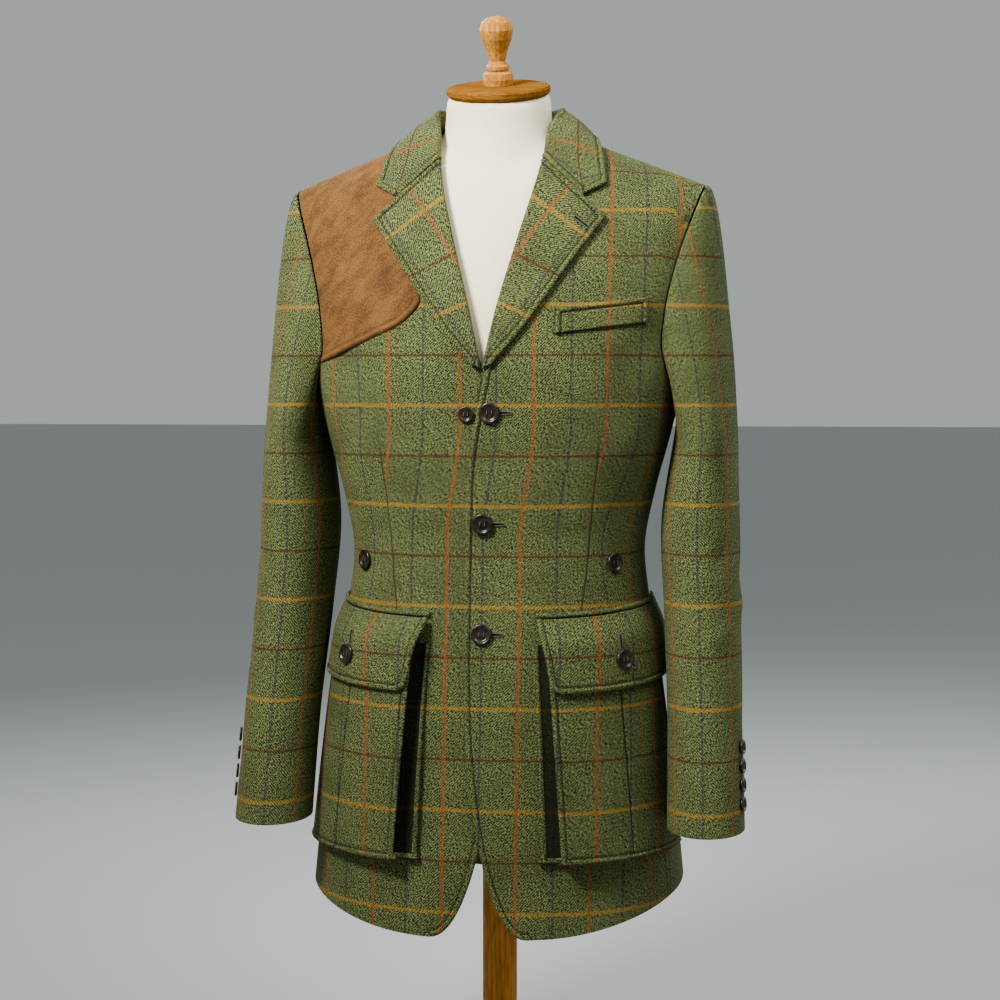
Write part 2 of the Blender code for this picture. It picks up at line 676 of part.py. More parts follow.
def collar(stations=25):
    """The collar, from the wearer's right gorge round the back to the left one."""
    last = COLLAR[-1].along
    behind = collar_section(last)
    sections = []
    for along in np.linspace(0.0, 1.0, stations // 2 + 1):
        if along <= last:
            sections.append(collar_section(along))
        else:
            sections.append(mix(behind, gorge_section(), (along - last) / (1 - last)))
    left = np.array(sections)
    outside = np.concatenate([mirrored(left[:0:-1], -1), left])
    along = np.gradient(outside, axis=0)
    over = np.gradient(outside, axis=1)
    normals = unit(np.cross(over, along))
    if normals[len(outside) // 2, -1, 1] < 0:
        normals = -normals
    wall("collar", outside, outside - CLOTH * normals, "tweed")


def armhole_loop():
    """The armhole seam as two runs from the shoulder to the underarm, over the front and over the back."""
    front_z = np.linspace(SHOULDER_Z, FRONT_SEAM_TOP_Z, 40)
    front = on_front(column(ARMHOLE, "front_x", front_z), front_z)[0]
    back_z = np.linspace(SHOULDER_Z, BACK_SEAM_TOP_Z, 40)
    back = on_back(column(ARMHOLE, "back_x", back_z), back_z)[0]
    front_floor = np.linspace(np.radians(SEAMS[-1].front_angle), pi / 2, 12)
    back_floor = np.linspace(np.radians(SEAMS[-1].back_angle), pi / 2, 12)
    front = np.concatenate([front, trunk_point(front_floor, underarm_z(front_floor))[1:]])
    back = np.concatenate([back, trunk_point(back_floor, underarm_z(back_floor))[1:]])
    return front, back


def along_run(run, share):
    """Points at shares of a run's length."""
    lengths = np.concatenate([[0.0], np.cumsum(np.linalg.norm(np.diff(run, axis=0), axis=1))])
    return np.stack([np.interp(share * lengths[-1], lengths, run[:, axis]) for axis in range(3)], axis=-1)


def sleeve_ring(turn, z):
    """Points of the sleeve below the underarm at turns from its outer side towards the front."""
    row = {name: column(SLEEVE, name, z) for name in SleeveRow._fields}
    return stack(
        row["centre_x"] + row["half_width"] * np.cos(turn),
        row["centre_y"] - row["half_depth"] * np.sin(turn),
        z + 0 * turn,
    )


def sleeve_lattice(turn):
    """Outer and inner points of a sleeve at the given turns, from the armhole to the cuff."""
    front, back = armhole_loop()
    share = np.abs(turn) / pi
    loop = np.where((turn >= 0)[:, None], along_run(front, share), along_run(back, share))
    loop = loop + np.array([ARMHOLE_GAP, 0.0, 0.0])
    first = sleeve_ring(turn, np.full_like(turn, CAP_END_Z))
    swell = mix(CAP_SWELL, 1.0, share)
    rows = []
    for step in CAP_ROWS:
        row = mix(loop, first, (step**swell)[:, None])
        row[:, 2] = mix(loop[:, 2], CAP_END_Z, step)
        rows.append(row)
    for z in np.linspace(CAP_END_Z, SLEEVE[0].z, SLEEVE_ROWS)[1:]:
        rows.append(sleeve_ring(turn, np.full_like(turn, z)))
    return np.array(rows)


def half_turns(turn):
    """The same turns, between half a turn back and half a turn on."""
    return (turn + pi) % (2 * pi) - pi


def sleeve_pieces(name, side, first_turn, last_turn, columns):
    """One of the two pieces of a sleeve."""
    gap = SEAM_GAP / 2 / SLEEVE[0].half_depth
    turn = np.linspace(np.radians(first_turn) + gap, np.radians(last_turn) - gap, columns)
    turn = half_turns(turn)
    small = 0.02
    outside = sleeve_lattice(turn)
    around = sleeve_lattice(half_turns(turn + small)) - sleeve_lattice(half_turns(turn - small))
    down = np.gradient(outside, axis=0)
    normals = unit(np.cross(down, around))
    front, back = armhole_loop()
    middle = (front.mean(axis=0) + back.mean(axis=0)) / 2
    inward = outside[0] - middle
    inward[:, 0] = 0.0
    normals[0] = unit(inward)
    centre = outside.mean(axis=1, keepdims=True)
    if np.mean(np.sum(normals[3:] * (outside - centre)[3:], axis=-1)) < 0:
        normals[1:] = -normals[1:]
    wall(name, mirrored(outside, side), mirrored(outside - CLOTH * normals, side), "tweed")


def shoulder_patch(rows=10, corner_columns=5, columns=6):
    """The suede patch on the wearer's right, from the shoulder seam to its slanted lower edge."""
    corner = PATCH_CORNER_START + PATCH_CORNER_SHARE * np.linspace(0.0, 1.0, corner_columns) ** 2
    u = np.concatenate([[0.0], corner[:-1], np.linspace(corner[-1], 1.0, columns)])[None, :]
    v = np.sin(np.linspace(0.0, pi / 2, rows))[:, None] * PATCH_TOP_SHARE
    low = mix(PATCH_LOW_INNER_Z, PATCH_LOW_OUTER_Z, u)
    ahead = 1 - np.clip((u - PATCH_CORNER_START) / PATCH_CORNER_SHARE, 0.0, 1.0)
    low = low + PATCH_CORNER * (1 - np.sqrt(1 - ahead ** 2))
    high = mix(shoulder_z(PATCH_TOP_INNER_X), SHOULDER_Z, u)
    z = mix(low, high, v)
    lapel_z = [row.edge_z for row in LAPEL]
    lapel_x = [row.edge_x for row in LAPEL]
    inner = np.minimum(smooth(lapel_z, lapel_x, z) - PATCH_UNDER_LAPEL, PATCH_TOP_INNER_X)
    inner = np.maximum(inner, PATCH_LOW_INNER_X - PATCH_UNDER_LAPEL)
    outer = column(ARMHOLE, "front_x", z) - PATCH_INSET
    x = mix(inner, outer, u)
    outside = on_front(x, z, OVER_CLOTH + SUEDE)[0]
    inside = on_front(x, z, OVER_CLOTH)[0]
    wall("shoulder_patch", mirrored(outside, -1), mirrored(inside, -1), "suede")


def breast_welt(rows=3, columns=6):
    """The slanted welt on the wearer's left."""
    u = np.linspace(0.0, 1.0, columns)[None, :]
    v = np.linspace(-0.5, 0.5, rows)[:, None]
    x = mix(WELT_INNER_X, WELT_OUTER_X, u) + 0 * v
    z = mix(WELT_INNER_Z, WELT_OUTER_Z, u) + WELT_HEIGHT * v
    outside = on_front(x, z, OVER_CLOTH + CLOTH)[0]
    wall("breast_welt", outside, on_front(x, z, OVER_CLOTH)[0], "tweed")


def pocket_depth(share):
    """How far a bellows pocket stands off, from its front edge (0) to its back edge (1)."""
    ahead = (1 - np.clip(share, 0.0, 1.0)) ** POCKET_TAPER
    return mix(POCKET_BACK_DEPTH, POCKET_FRONT_DEPTH, ahead)


def pocket(name, side, columns=9, rows=7):
    """A bellows pocket: face, gusset on three sides, open at the top."""
    edge = np.degrees(CLOTH / column(TRUNK, "half_width", POCKET_BOTTOM_Z))
    share = np.linspace(0.0, 1.0, columns)
    high = np.linspace(POCKET_TOP_Z, POCKET_BOTTOM_Z, rows)

    def lattice(inset, depth_less):
        heights = np.concatenate([high[:-1], [POCKET_BOTTOM_Z + inset * CLOTH] * 2])[:, None]
        fall = (POCKET_TOP_Z - heights) / (POCKET_TOP_Z - POCKET_BOTTOM_Z)
        root = GUSSET_FRONT_ANGLE + inset * edge + 0 * fall
        first = POCKET_FRONT_ANGLE + inset * edge + POCKET_FRONT_SLANT * fall
        last = POCKET_BACK_ANGLE - inset * edge
        angle = np.radians(np.concatenate([root, mix(first, last, share), last + 0 * fall], axis=1))
        depth = pocket_depth(share) - depth_less
        out = np.concatenate([[OVER_CLOTH], depth, [OVER_CLOTH]])
        z = np.broadcast_to(heights, angle.shape)
        lift = np.broadcast_to(out, angle.shape).copy()
        lift[-1] = OVER_CLOTH
        return round_trunk(angle, z, lift)[0]

    wall(name, mirrored(lattice(0, 0.0), side), mirrored(lattice(1, CLOTH), side), "tweed")


def flap_lattice(v, u):
    """Angle, height and stand-off of a flap's underside, from its top to its hem."""
    first = mix(FLAP_FRONT_ANGLE, FLAP_FRONT_ANGLE + FLAP_FRONT_SLANT, v)
    angle = np.radians(mix(first, FLAP_BACK_ANGLE, u))
    z = FLAP_TOP_Z + FLAP_SIDE_RISE * ease(u, 0.0, 1.0) - FLAP_HEIGHT * v
    share = (np.degrees(angle) - POCKET_FRONT_ANGLE) / (POCKET_BACK_ANGLE - POCKET_FRONT_ANGLE)
    out = mix(OVER_CLOTH, pocket_depth(share) + FLAP_STAND_OFF, ease(v, -0.15, 0.42))
    return angle, z, out


def flap(name, side, rows=6, columns=11):
    """A pocket flap, standing off over the pocket."""
    v = np.linspace(0.0, 1.0, rows)[:, None]
    u = np.linspace(0.0, 1.0, columns)[None, :]
    angle, z, out = flap_lattice(v, u + 0 * v)
    outside = round_trunk(angle, z, out + CLOTH)[0]
    wall(name, mirrored(outside, side), mirrored(round_trunk(angle, z, out)[0], side), "tweed")


def piping(name, side, columns=11, sides=6):
    """The ridge along the top of a flap: a thin half-round strip."""
    u = np.linspace(0.0, 1.0, columns)[:, None]
    turn = np.linspace(0.0, pi, sides)[None, :]
    angle, z, _ = flap_lattice(0 * u, u)
    middle = z + PIPING_RADIUS + SEAM_GAP
    angle = angle + 0 * turn
    z = middle - PIPING_RADIUS * np.cos(turn)
    outside = round_trunk(angle, z, OVER_CLOTH + CLOTH / 2 + PIPING_RADIUS * np.sin(turn))[0]
    inside = round_trunk(angle, z, OVER_CLOTH)[0]
    wall(name, mirrored(outside, side), mirrored(inside, side), "tweed")


def button(name, point, normal, radius, lift):
    """A dished button with a rim, its back just off the cloth."""
    profile = (
        (0.0, radius * 0.80),
        (radius * 0.10, radius * 0.97),
        (radius * 0.26, radius),
        (radius * 0.34, radius * 0.88),
        (radius * 0.26, radius * 0.66),
    )
    lathe(name, profile, point + normal * lift, normal, "horn", BUTTON_SIDES)


def one(points_and_normals):
    points, normals = points_and_normals
    return points.reshape(-1, 3)[0], normals.reshape(-1, 3)[0]


def mirrored_button(name, side, place, radius, lift=BUTTON_LIFT):
    point, normal = place
    button(name, mirrored(point, side), mirrored(normal, side), radius, lift)


def buttons():
    """All buttons of the jacket."""
    for number, row in enumerate(FRONT_BUTTONS, 1):
        spot = one(on_front(np.array([row.x]), np.array([row.z])))
        mirrored_button(f"front_button_{number}", 1, spot, FRONT_BUTTON_RADIUS, row.lift)
    x = np.array([INNER_BUTTON_X])
    z = np.array([INNER_BUTTON_Z])
    mirrored_button("inner_button", -1, one(on_front(x, z, -lap_drop(x, z))), INNER_BUTTON_RADIUS)
    for side, word in ((1, "left"), (-1, "right")):
        z = np.array([WAIST_BUTTON_Z])
        front_spot = one(round_trunk(np.radians([WAIST_FRONT_ANGLE]), z))
        back_spot = one(round_trunk(np.radians([WAIST_BACK_ANGLE]), z))
        mirrored_button(f"waist_button_front_{word}", side, front_spot, SIDE_BUTTON_RADIUS, WAIST_FRONT_LIFT)
        mirrored_button(f"waist_button_back_{word}", side, back_spot, SIDE_BUTTON_RADIUS, WAIST_BACK_LIFT)
        v = np.array([FLAP_BUTTON_SHARE])
        u = (FLAP_BUTTON_ANGLE - FLAP_FRONT_ANGLE) / (FLAP_BACK_ANGLE - FLAP_FRONT_ANGLE)
        angle, z, out = flap_lattice(v, u + 0 * v)
        spot = one(round_trunk(angle, z, out + CLOTH))
        mirrored_button(f"flap_button_{word}", side, spot, SIDE_BUTTON_RADIUS, FLAP_BUTTON_LIFT)
        for number in range(CUFF_BUTTONS):
            z = np.array([CUFF_BUTTON_TOP_Z - number * CUFF_BUTTON_STEP])
            turn = np.radians([CUFF_BUTTON_TURN])
            around = sleeve_ring(turn + 0.02, z) - sleeve_ring(turn - 0.02, z)
            up = sleeve_ring(turn, z + 0.002) - sleeve_ring(turn, z - 0.002)
            normal = unit(np.cross(up, around))
            spot = one((sleeve_ring(turn, z), normal * np.sign(normal[:, :1])))
            mirrored_button(f"cuff_button_{word}_{number + 1}", side, spot, CUFF_BUTTON_RADIUS)


def form_torso():
    """The dress form: trunk and shoulders joined to its neck."""
    turns = np.arange(FORM_SIDES) * 2 * pi / FORM_SIDES
    levels = [(z, 0.0) for z in np.linspace(FORM_BOTTOM_Z, CHEST_Z, 11)]
    levels += [(CHEST_Z, share) for share in np.sin(np.linspace(0.0, np.arcsin(FORM_TOP_SHARE), 10))[1:]]
    rings = []
    for z, share in levels:
        width = float(column(TRUNK, "half_width", min(z, CHEST_Z))) - FORM_INSET
        width = mix(width, FORM_SHOULDER_X, ease(share, 0.0, 1.0))
        squareness = np.where(np.cos(turns) >= 0, FRONT_SQUARENESS, BACK_SQUARENESS)
        x = width * np.sign(np.sin(turns)) * np.abs(np.sin(turns)) ** (2 / squareness)
        drop = FORM_SEAT_DROP + FORM_NECK_DROP * (1 - ease(np.abs(x), NECK_X, 2 * NECK_X))
        height = z + share * (shoulder_z(x) - drop - CHEST_Z)
        less = (FORM_INSET, width, drop)
        front = -trunk_depth(x, height, "front_depth", FRONT_SQUARENESS, FRONT_SHOULDER_ROUND, *less)
        back = trunk_depth(x, height, "back_depth", BACK_SQUARENESS, BACK_SHOULDER_ROUND, *less)
        rings.append(stack(x, np.where(np.cos(turns) >= 0, front, back), height))
    torso = tube("form_torso", rings)
    neck_rings = []
    for row in NECK:
        tilt = radians(row.tilt)
        depth = -row.half_depth * np.cos(turns)
        across = row.half_width * np.sin(turns)
        neck_rings.append(stack(across, row.centre_y + depth * cos(tilt), row.z + depth * sin(tilt)))
    neck = tube("neck_tool", neck_rings)
    neck.hide_render = True
    neck.display_type = "WIRE"
    joined = torso.modifiers.new("neck", "BOOLEAN")
    joined.operation = "UNION"
    joined.solver = "EXACT"
    joined.object = neck


def tube(name, rings):
    """A closed solid through rings of the same number of points."""
    sides = len(rings[0])
    count = len(rings)
    faces = [list(range(sides)), list(range((count - 1) * sides, count * sides))]
    for ring in range(count - 1):
        low = ring * sides
        for k in range(sides):
            after = (k + 1) % sides
            faces.append([low + k, low + after, low + sides + after, low + sides + k])
    return make_object(name, np.concatenate(rings), faces, "linen")


def stand():
    """Neck cap, finial, pole and base."""
    top = NECK[-1]
    tilt = radians(top.tilt)
    axis = np.array([0.0, -sin(tilt), cos(tilt)])
    foot = np.array([0.0, top.centre_y, top.z]) + axis * SEAM_GAP
    cap_profile = (
        (0.0, CAP_RADIUS - CAP_ROUND),
        (CAP_ROUND, CAP_RADIUS),
        (CAP_THICKNESS - CAP_ROUND, CAP_RADIUS),
        (CAP_THICKNESS - CAP_ROUND / 3, CAP_RADIUS - CAP_ROUND / 2),
        (CAP_THICKNESS, CAP_RADIUS - 2 * CAP_ROUND),
    )
    lathe("neck_cap", cap_profile, foot, axis, "wood", TURNED_SIDES)
    lathe("finial", FINIAL, foot + axis * (CAP_THICKNESS + SEAM_GAP), axis, "wood", TURNED_SIDES - 8)
    base_top = BASE_PROFILE[-1].height
    pole_profile = ((0.0, POLE_RADIUS), (FORM_BOTTOM_Z - base_top - 2 * SEAM_GAP, POLE_RADIUS))
    lathe("pole", pole_profile, (0.0, 0.0, base_top + SEAM_GAP), (0.0, 0.0, 1.0), "wood", TURNED_SIDES)
    lathe("base", BASE_PROFILE, (0.0, 0.0, 0.0), (0.0, 0.0, 1.0), "wood", TURNED_SIDES + 12)


def main():
    for item in list(bpy.data.objects):
        bpy.data.objects.remove(item)
    for side, word in ((1, "left"), (-1, "right")):
        front_panel(f"front_{word}", side)
        back_panel(f"back_{word}", side)
        side_panel(f"side_{word}", side)
        lapel(f"lapel_{word}", side)
        sleeve_pieces(f"top_sleeve_{word}", side, SLEEVE_BACK_SEAM, SLEEVE_FRONT_SEAM, 11)
        sleeve_pieces(f"under_sleeve_{word}", side, SLEEVE_FRONT_SEAM, SLEEVE_BACK_SEAM + 360, 10)
        pocket(f"pocket_{word}", side)
        flap(f"flap_{word}", side)
        piping(f"piping_{word}", side)
    collar()
    shoulder_patch()
    breast_welt()
    buttons()
    form_torso()
    stand()


main()
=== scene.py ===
"""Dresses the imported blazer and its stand: cloth, stitching, buttons, form, wood and a plain stage."""

from collections import namedtuple
from math import cos, pi, radians, sin

import bpy
import numpy as np
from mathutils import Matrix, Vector
from mathutils.kdtree import KDTree


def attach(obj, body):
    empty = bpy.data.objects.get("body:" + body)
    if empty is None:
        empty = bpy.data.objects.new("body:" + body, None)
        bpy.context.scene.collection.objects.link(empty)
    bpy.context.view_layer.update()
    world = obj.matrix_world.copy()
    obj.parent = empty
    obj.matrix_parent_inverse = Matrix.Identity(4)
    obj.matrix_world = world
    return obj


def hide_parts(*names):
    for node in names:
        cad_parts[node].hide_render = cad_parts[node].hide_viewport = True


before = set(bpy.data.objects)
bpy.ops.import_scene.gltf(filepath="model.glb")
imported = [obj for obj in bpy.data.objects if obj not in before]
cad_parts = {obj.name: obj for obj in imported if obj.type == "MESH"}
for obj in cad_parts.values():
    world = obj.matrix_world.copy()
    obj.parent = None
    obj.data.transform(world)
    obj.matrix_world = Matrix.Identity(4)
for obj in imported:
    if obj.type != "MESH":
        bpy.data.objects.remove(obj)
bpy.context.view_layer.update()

bl_info = {
    "name": "Tweed blazer on a dress form",
    "version": (1, 0, 0),
    "blender": (4, 5, 0),
    "location": "View3D > Sidebar > Blazer",
    "description": "Dresses the packed blazer with tweed, suede, horn buttons, a cotton form and turned wood",
    "category": "Object",
}

# The wearer's left and right
SIDES = ((1, "left"), (-1, "right"))

# Cloth walls, as in the solids
CLOTH = 0.002
SUEDE = 0.0012
SEAM_GAP = 0.0003
OVER_CLOTH = 0.0009
ARMHOLE_GAP = 0.0013
EDGE_ROUND = 0.0013
SEAM_ROUND = 0.0006
EDGE_STEP = 0.0012
EDGE_SWELL = 0.0011
STITCH_SINK = 0.0005
STITCH_INSET = 0.0060
NO_STITCH = 0.5
NARROWEST_CUT = 0.0102

# Trunk of the jacket
Ring = namedtuple("Ring", "z half_width front_depth back_depth")
TRUNK = (
    Ring(0.205, 0.1950, 0.1623, 0.1436),
    Ring(0.312, 0.1845, 0.1500, 0.1350),
    Ring(0.392, 0.1755, 0.1430, 0.1270),
    Ring(0.470, 0.1650, 0.1340, 0.1170),
    Ring(0.540, 0.1540, 0.1240, 0.1050),
    Ring(0.590, 0.1495, 0.1200, 0.1000),
    Ring(0.648, 0.1600, 0.1240, 0.1060),
    Ring(0.700, 0.1740, 0.1280, 0.1120),
    Ring(0.745, 0.1850, 0.1300, 0.1160),
    Ring(0.830, 0.1980, 0.1280, 0.1160),
    Ring(0.890, 0.2120, 0.1240, 0.1130),
    Ring(0.960, 0.2350, 0.1200, 0.1120),
    Ring(1.040, 0.2500, 0.1180, 0.1120),
)
FRONT_SQUARENESS = 2.4
BACK_SQUARENESS = 2.5
FRONT_SHOULDER_ROUND = 2.0
BACK_SHOULDER_ROUND = 2.6
FRONT_FACE = ("front_depth", FRONT_SQUARENESS, FRONT_SHOULDER_ROUND)
BACK_FACE = ("back_depth", BACK_SQUARENESS, BACK_SHOULDER_ROUND)
CHEST_Z = 0.745
NECK_X = 0.065
NECK_Z = 1.011
SHOULDER_X = 0.209
SHOULDER_Z = 0.956
BACK_NECK_Z = 1.009
FRONT_HEM_Z = 0.221
BACK_HEM_Z = 0.217
HEM_SIDE_LIFT = 0.030
HEM_FADE = 0.25
ROW_TURN = 0.045

# Long seams and armholes
Seam = namedtuple("Seam", "z front_angle back_angle")
SEAMS = (
    Seam(0.205, 68.0, 132.0),
    Seam(0.450, 68.0, 131.0),
    Seam(0.590, 68.0, 129.5),
    Seam(0.680, 68.0, 121.0),
    Seam(0.790, 68.0, 113.0),
)
FRONT_SEAM_TOP_Z = 0.762
BACK_SEAM_TOP_Z = 0.785
BACK_CHEST_Z = 0.770
SEAM_PASSES = 4
Armhole = namedtuple("Armhole", "z front_x back_x")
ARMHOLE = (
    Armhole(0.762, 0.1757, 0.1790),
    Armhole(0.785, 0.1700, 0.1770),
    Armhole(0.830, 0.1725, 0.1795),
    Armhole(0.890, 0.1865, 0.1915),
    Armhole(0.930, 0.2000, 0.2020),
    Armhole(0.956, 0.2090, 0.2090),
)

# Front edge, roll line and neckline
Edge = namedtuple("Edge", "z x")
FRONT_EDGE = (
    Edge(0.205, -0.0175),
    Edge(0.450, -0.0175),
    Edge(0.600, -0.0170),
    Edge(0.680, -0.0130),
    Edge(0.730, -0.0045),
    Edge(0.772, 0.0042),
    Edge(0.831, 0.0170),
    Edge(0.885, 0.0315),
    Edge(0.949, 0.0480),
    Edge(0.975, 0.0535),
    Edge(1.000, 0.0605),
    Edge(1.011, 0.0650),
)
EDGE_CURVE_WIDTH = 0.064
EDGE_CURVE_HEIGHT = 0.272
LAP_DROP = CLOTH + 0.0006
LAP_INNER_X = 0.026
LAP_OUTER_X = 0.055
LAP_TOP_Z = 0.768
LAP_FADE = 0.032

# Lapels and collar
LapelRow = namedtuple("LapelRow", "along roll_z edge_x edge_z")
LAPEL = (
    LapelRow(0.00, 0.772, 0.0110, 0.7755),
    LapelRow(0.20, 0.812, 0.0350, 0.8030),
    LapelRow(0.45, 0.862, 0.0640, 0.8440),
    LapelRow(0.70, 0.914, 0.0900, 0.8820),
    LapelRow(1.00, 0.975, 0.1150, 0.9170),
)
ROLL_RADIUS = 0.0023
LEAF_REST = 0.0030
GORGE_GAP = 0.0006
CollarRow = namedtuple("CollarRow", "along seam_x seam_y seam_z stand lean edge_x edge_y")
COLLAR = (
    CollarRow(0.00, 0.0000, 0.0600, 1.0115, 0.0260, 0.00, 0.0000, 0.0735),
    CollarRow(0.20, 0.0300, 0.0520, 1.0120, 0.0260, 0.00, 0.0460, 0.0615),
    CollarRow(0.40, 0.0540, 0.0285, 1.0135, 0.0245, 0.00, 0.0830, 0.0340),
    CollarRow(0.55, 0.0615, 0.0000, 1.0150, 0.0205, 0.05, 0.0990, 0.0000),
    CollarRow(0.70, 0.0600, -0.0262, 1.0075, 0.0150, 0.30, 0.1055, -0.0250),
    CollarRow(0.85, 0.0555, -0.0478, 0.9925, 0.0085, 0.65, 0.1105, -0.0450),
)
COLLAR_BULGE = 0.0030
COLLAR_STAND_SHARES = (0.0, 0.25, 0.5, 0.75)
FOLD_STEPS = 12
NOTCH_SHARE = 0.62
NOTCH_X = 0.0915
NOTCH_Z = 0.9390
COLLAR_POINT_X = 0.1140
COLLAR_POINT_Z = 0.9510

# Sleeves
SleeveRow = namedtuple("SleeveRow", "z centre_x centre_y half_width half_depth")
SLEEVE = (
    SleeveRow(0.322, 0.2170, -0.0950, 0.0380, 0.0500),
    SleeveRow(0.430, 0.2145, -0.0630, 0.0375, 0.0545),
    SleeveRow(0.530, 0.2100, -0.0300, 0.0385, 0.0610),
    SleeveRow(0.620, 0.2070, -0.0120, 0.0395, 0.0670),
    SleeveRow(0.700, 0.2110, -0.0040, 0.0320, 0.0730),
)
CAP_END_Z = 0.700
CAP_SWELL = 0.45
CAP_ROWS = 44
CAP_CROWDING = 1.6
CAP_RELAX_REACH = 0.05
CAP_RELAX_PASSES = 60
CAP_RELAX_SHARE = 0.5
BELOW_CAP_ROW = 30
SLEEVE_CREASE_SHIFT = 0.012
TURN_STEP = 0.02
RISE_STEP = 0.002
SLEEVE_BACK_SEAM = -66.0
SLEEVE_FRONT_SEAM = 150.0

# Patch, welt, pockets and flaps
PATCH_LOW_INNER_X = 0.058
PATCH_LOW_INNER_Z = 0.829
PATCH_LOW_OUTER_Z = 0.777
PATCH_CORNER = 0.030
PATCH_CORNER_START = 0.08
PATCH_CORNER_SHARE = 0.27
PATCH_TOP_INNER_X = 0.085
PATCH_UNDER_LAPEL = 0.012
PATCH_INSET = 0.0020
PATCH_TOP_SHARE = 0.975
WELT_INNER_X = 0.070
WELT_OUTER_X = 0.156
WELT_INNER_Z = 0.8165
WELT_OUTER_Z = 0.8280
WELT_HEIGHT = 0.025
POCKET_FRONT_ANGLE = 18.4
POCKET_FRONT_SLANT = 2.0
GUSSET_FRONT_ANGLE = 15.0
POCKET_BACK_ANGLE = 80.0
POCKET_TOP_Z = 0.503
POCKET_BOTTOM_Z = 0.294
POCKET_FRONT_DEPTH = 0.022
POCKET_BACK_DEPTH = 0.0055
POCKET_TAPER = 1.25
GUSSET_FOLD = 0.0045
GussetStep = namedtuple("GussetStep", "to_edge past_edge height")
GUSSET = (
    GussetStep(0.00, 0.0, 0.00),
    GussetStep(0.00, 0.0, 0.12),
    GussetStep(0.06, 0.0, 0.19),
    GussetStep(0.18, 0.0, 0.19),
    GussetStep(0.30, 0.0, 0.12),
    GussetStep(0.55, 0.0, 0.10),
    GussetStep(0.85, 0.0, 0.10),
    GussetStep(1.00, 2.0, 0.12),
    GussetStep(1.00, 4.0, 0.20),
    GussetStep(1.00, 4.6, 0.42),
    GussetStep(1.00, 4.0, 0.62),
    GussetStep(1.00, 2.0, 0.72),
    GussetStep(1.00, 0.3, 0.80),
    GussetStep(1.00, 0.0, 0.92),
)
GUSSET_FOLD_STEPS = 7
POCKET_MIDDLE_ROW = 20
POCKET_BACK_STEPS = (0.75, 0.5, 0.25, 0.0)
PLEAT_SPAN = 0.03
PLEAT_STEPS = 25
PLEAT_FADE = 0.6
PLEAT_WIDTH = 0.0013
PLEAT_TOP_SHARE = 0.5
# Gusset columns painted wholly with shade, as the dark inside of the bellows, except in the rows at its foot.
GUSSET_PAINTED_SHADE = slice(4, 12)
GUSSET_FOOT_ROWS = 6
PLEAT_DEPTH = 0.0024
CUFF_VENT_Z = 0.405
CUFF_VENT_LIFT = 0.0016
CUFF_VENT_WIDTH = 0.018
FLAP_FRONT_ANGLE = 15.5
FLAP_FRONT_SLANT = 3.8
FLAP_BACK_ANGLE = 100.0
FLAP_TOP_Z = 0.528
FLAP_SIDE_RISE = 0.008
FLAP_HEIGHT = 0.072
FLAP_STAND_OFF = 0.0032
FLAP_LEAVE = (-0.15, 0.42)
FLAP_MIDDLE = (10, 30)
PIPING_STEPS = 11
FLAP_CORNER = 0.009
PIPING_CUT = 0.020
PIPING_RADIUS = 0.0026

# Steps of each lattice: how many, and over what length
FRONT_COLUMNS = (50, 0.2)
BACK_COLUMNS = (50, 0.18)
SIDE_ROWS = (118, 0.5)
SIDE_COLUMNS = (40, 0.15)
LAPEL_ROWS = (64, 0.25)
LAPEL_COLUMNS = (26, 0.07)
COLLAR_COLUMNS = (22, 0.05)
COLLAR_ROWS = (74, 0.25)
SLEEVE_ROWS = (86, 0.38)
SLEEVE_COLUMNS = (50, 0.16)
PATCH_COLUMNS = (44, 0.12)
PATCH_ROWS = (54, 0.2)
POCKET_ROWS = (60, 0.2)
POCKET_COLUMNS = (46, 0.16)
FLAP_COLUMNS = (60, 0.2)
PIPING_ROWS = (80, 0.2)
WELT_COLUMNS = (40, WELT_OUTER_X - WELT_INNER_X)
WELT_ROWS = (14, WELT_HEIGHT)
FLAP_ROWS = (28, FLAP_HEIGHT)

# Side vents
VENT_TOP_Z = 0.440
VENT_FADE = 0.030
VENT_LAP_ANGLE = 4.5
VENT_LIFT = CLOTH + 0.0008
VENT_EDGE_WIDTH = 0.035

# Buttons and buttonholes
FRONT_BUTTON_RADIUS = 0.0105
SIDE_BUTTON_RADIUS = 0.0100
INNER_BUTTON_RADIUS = 0.0080
CUFF_BUTTON_RADIUS = 0.0075
FrontButton = namedtuple("FrontButton", "x z lift")
FRONT_BUTTONS = (
    FrontButton(0.0080, 0.7280, 0.0005),
    FrontButton(0.0000, 0.6200, 0.0009),
    FrontButton(0.0000, 0.5125, 0.0006),
)
INNER_BUTTON_X = 0.0155
INNER_BUTTON_Z = 0.7265
WAIST_BUTTON_Z = 0.580
WAIST_FRONT_ANGLE = 53.0
WAIST_BACK_ANGLE = 123.0
FLAP_BUTTON_ANGLE = 45.5
FLAP_BUTTON_SHARE = 0.62
CUFF_BUTTON_TURN = 20.0
CUFF_BUTTON_TOP_Z = 0.402
CUFF_BUTTON_STEP = 0.0177
CUFF_BUTTONS = 4
BUTTON_LIFT = 0.0004
FLAP_BUTTON_LIFT = 0.0006
WAIST_FRONT_LIFT = 0.0008
WAIST_BACK_LIFT = 0.0018
BUTTON_SIDES = 48
ButtonStep = namedtuple("ButtonStep", "height radius")
BUTTON_PROFILE = (
    ButtonStep(0.00, 0.80),
    ButtonStep(0.06, 0.93),
    ButtonStep(0.14, 0.98),
    ButtonStep(0.24, 1.00),
    ButtonStep(0.31, 0.96),
    ButtonStep(0.345, 0.89),
    ButtonStep(0.345, 0.81),
    ButtonStep(0.31, 0.73),
    ButtonStep(0.24, 0.66),
    ButtonStep(0.18, 0.58),
    ButtonStep(0.165, 0.48),
    ButtonStep(0.19, 0.30),
    ButtonStep(0.20, 0.02),
)
Spot = namedtuple("Spot", "node point normal radius lift")
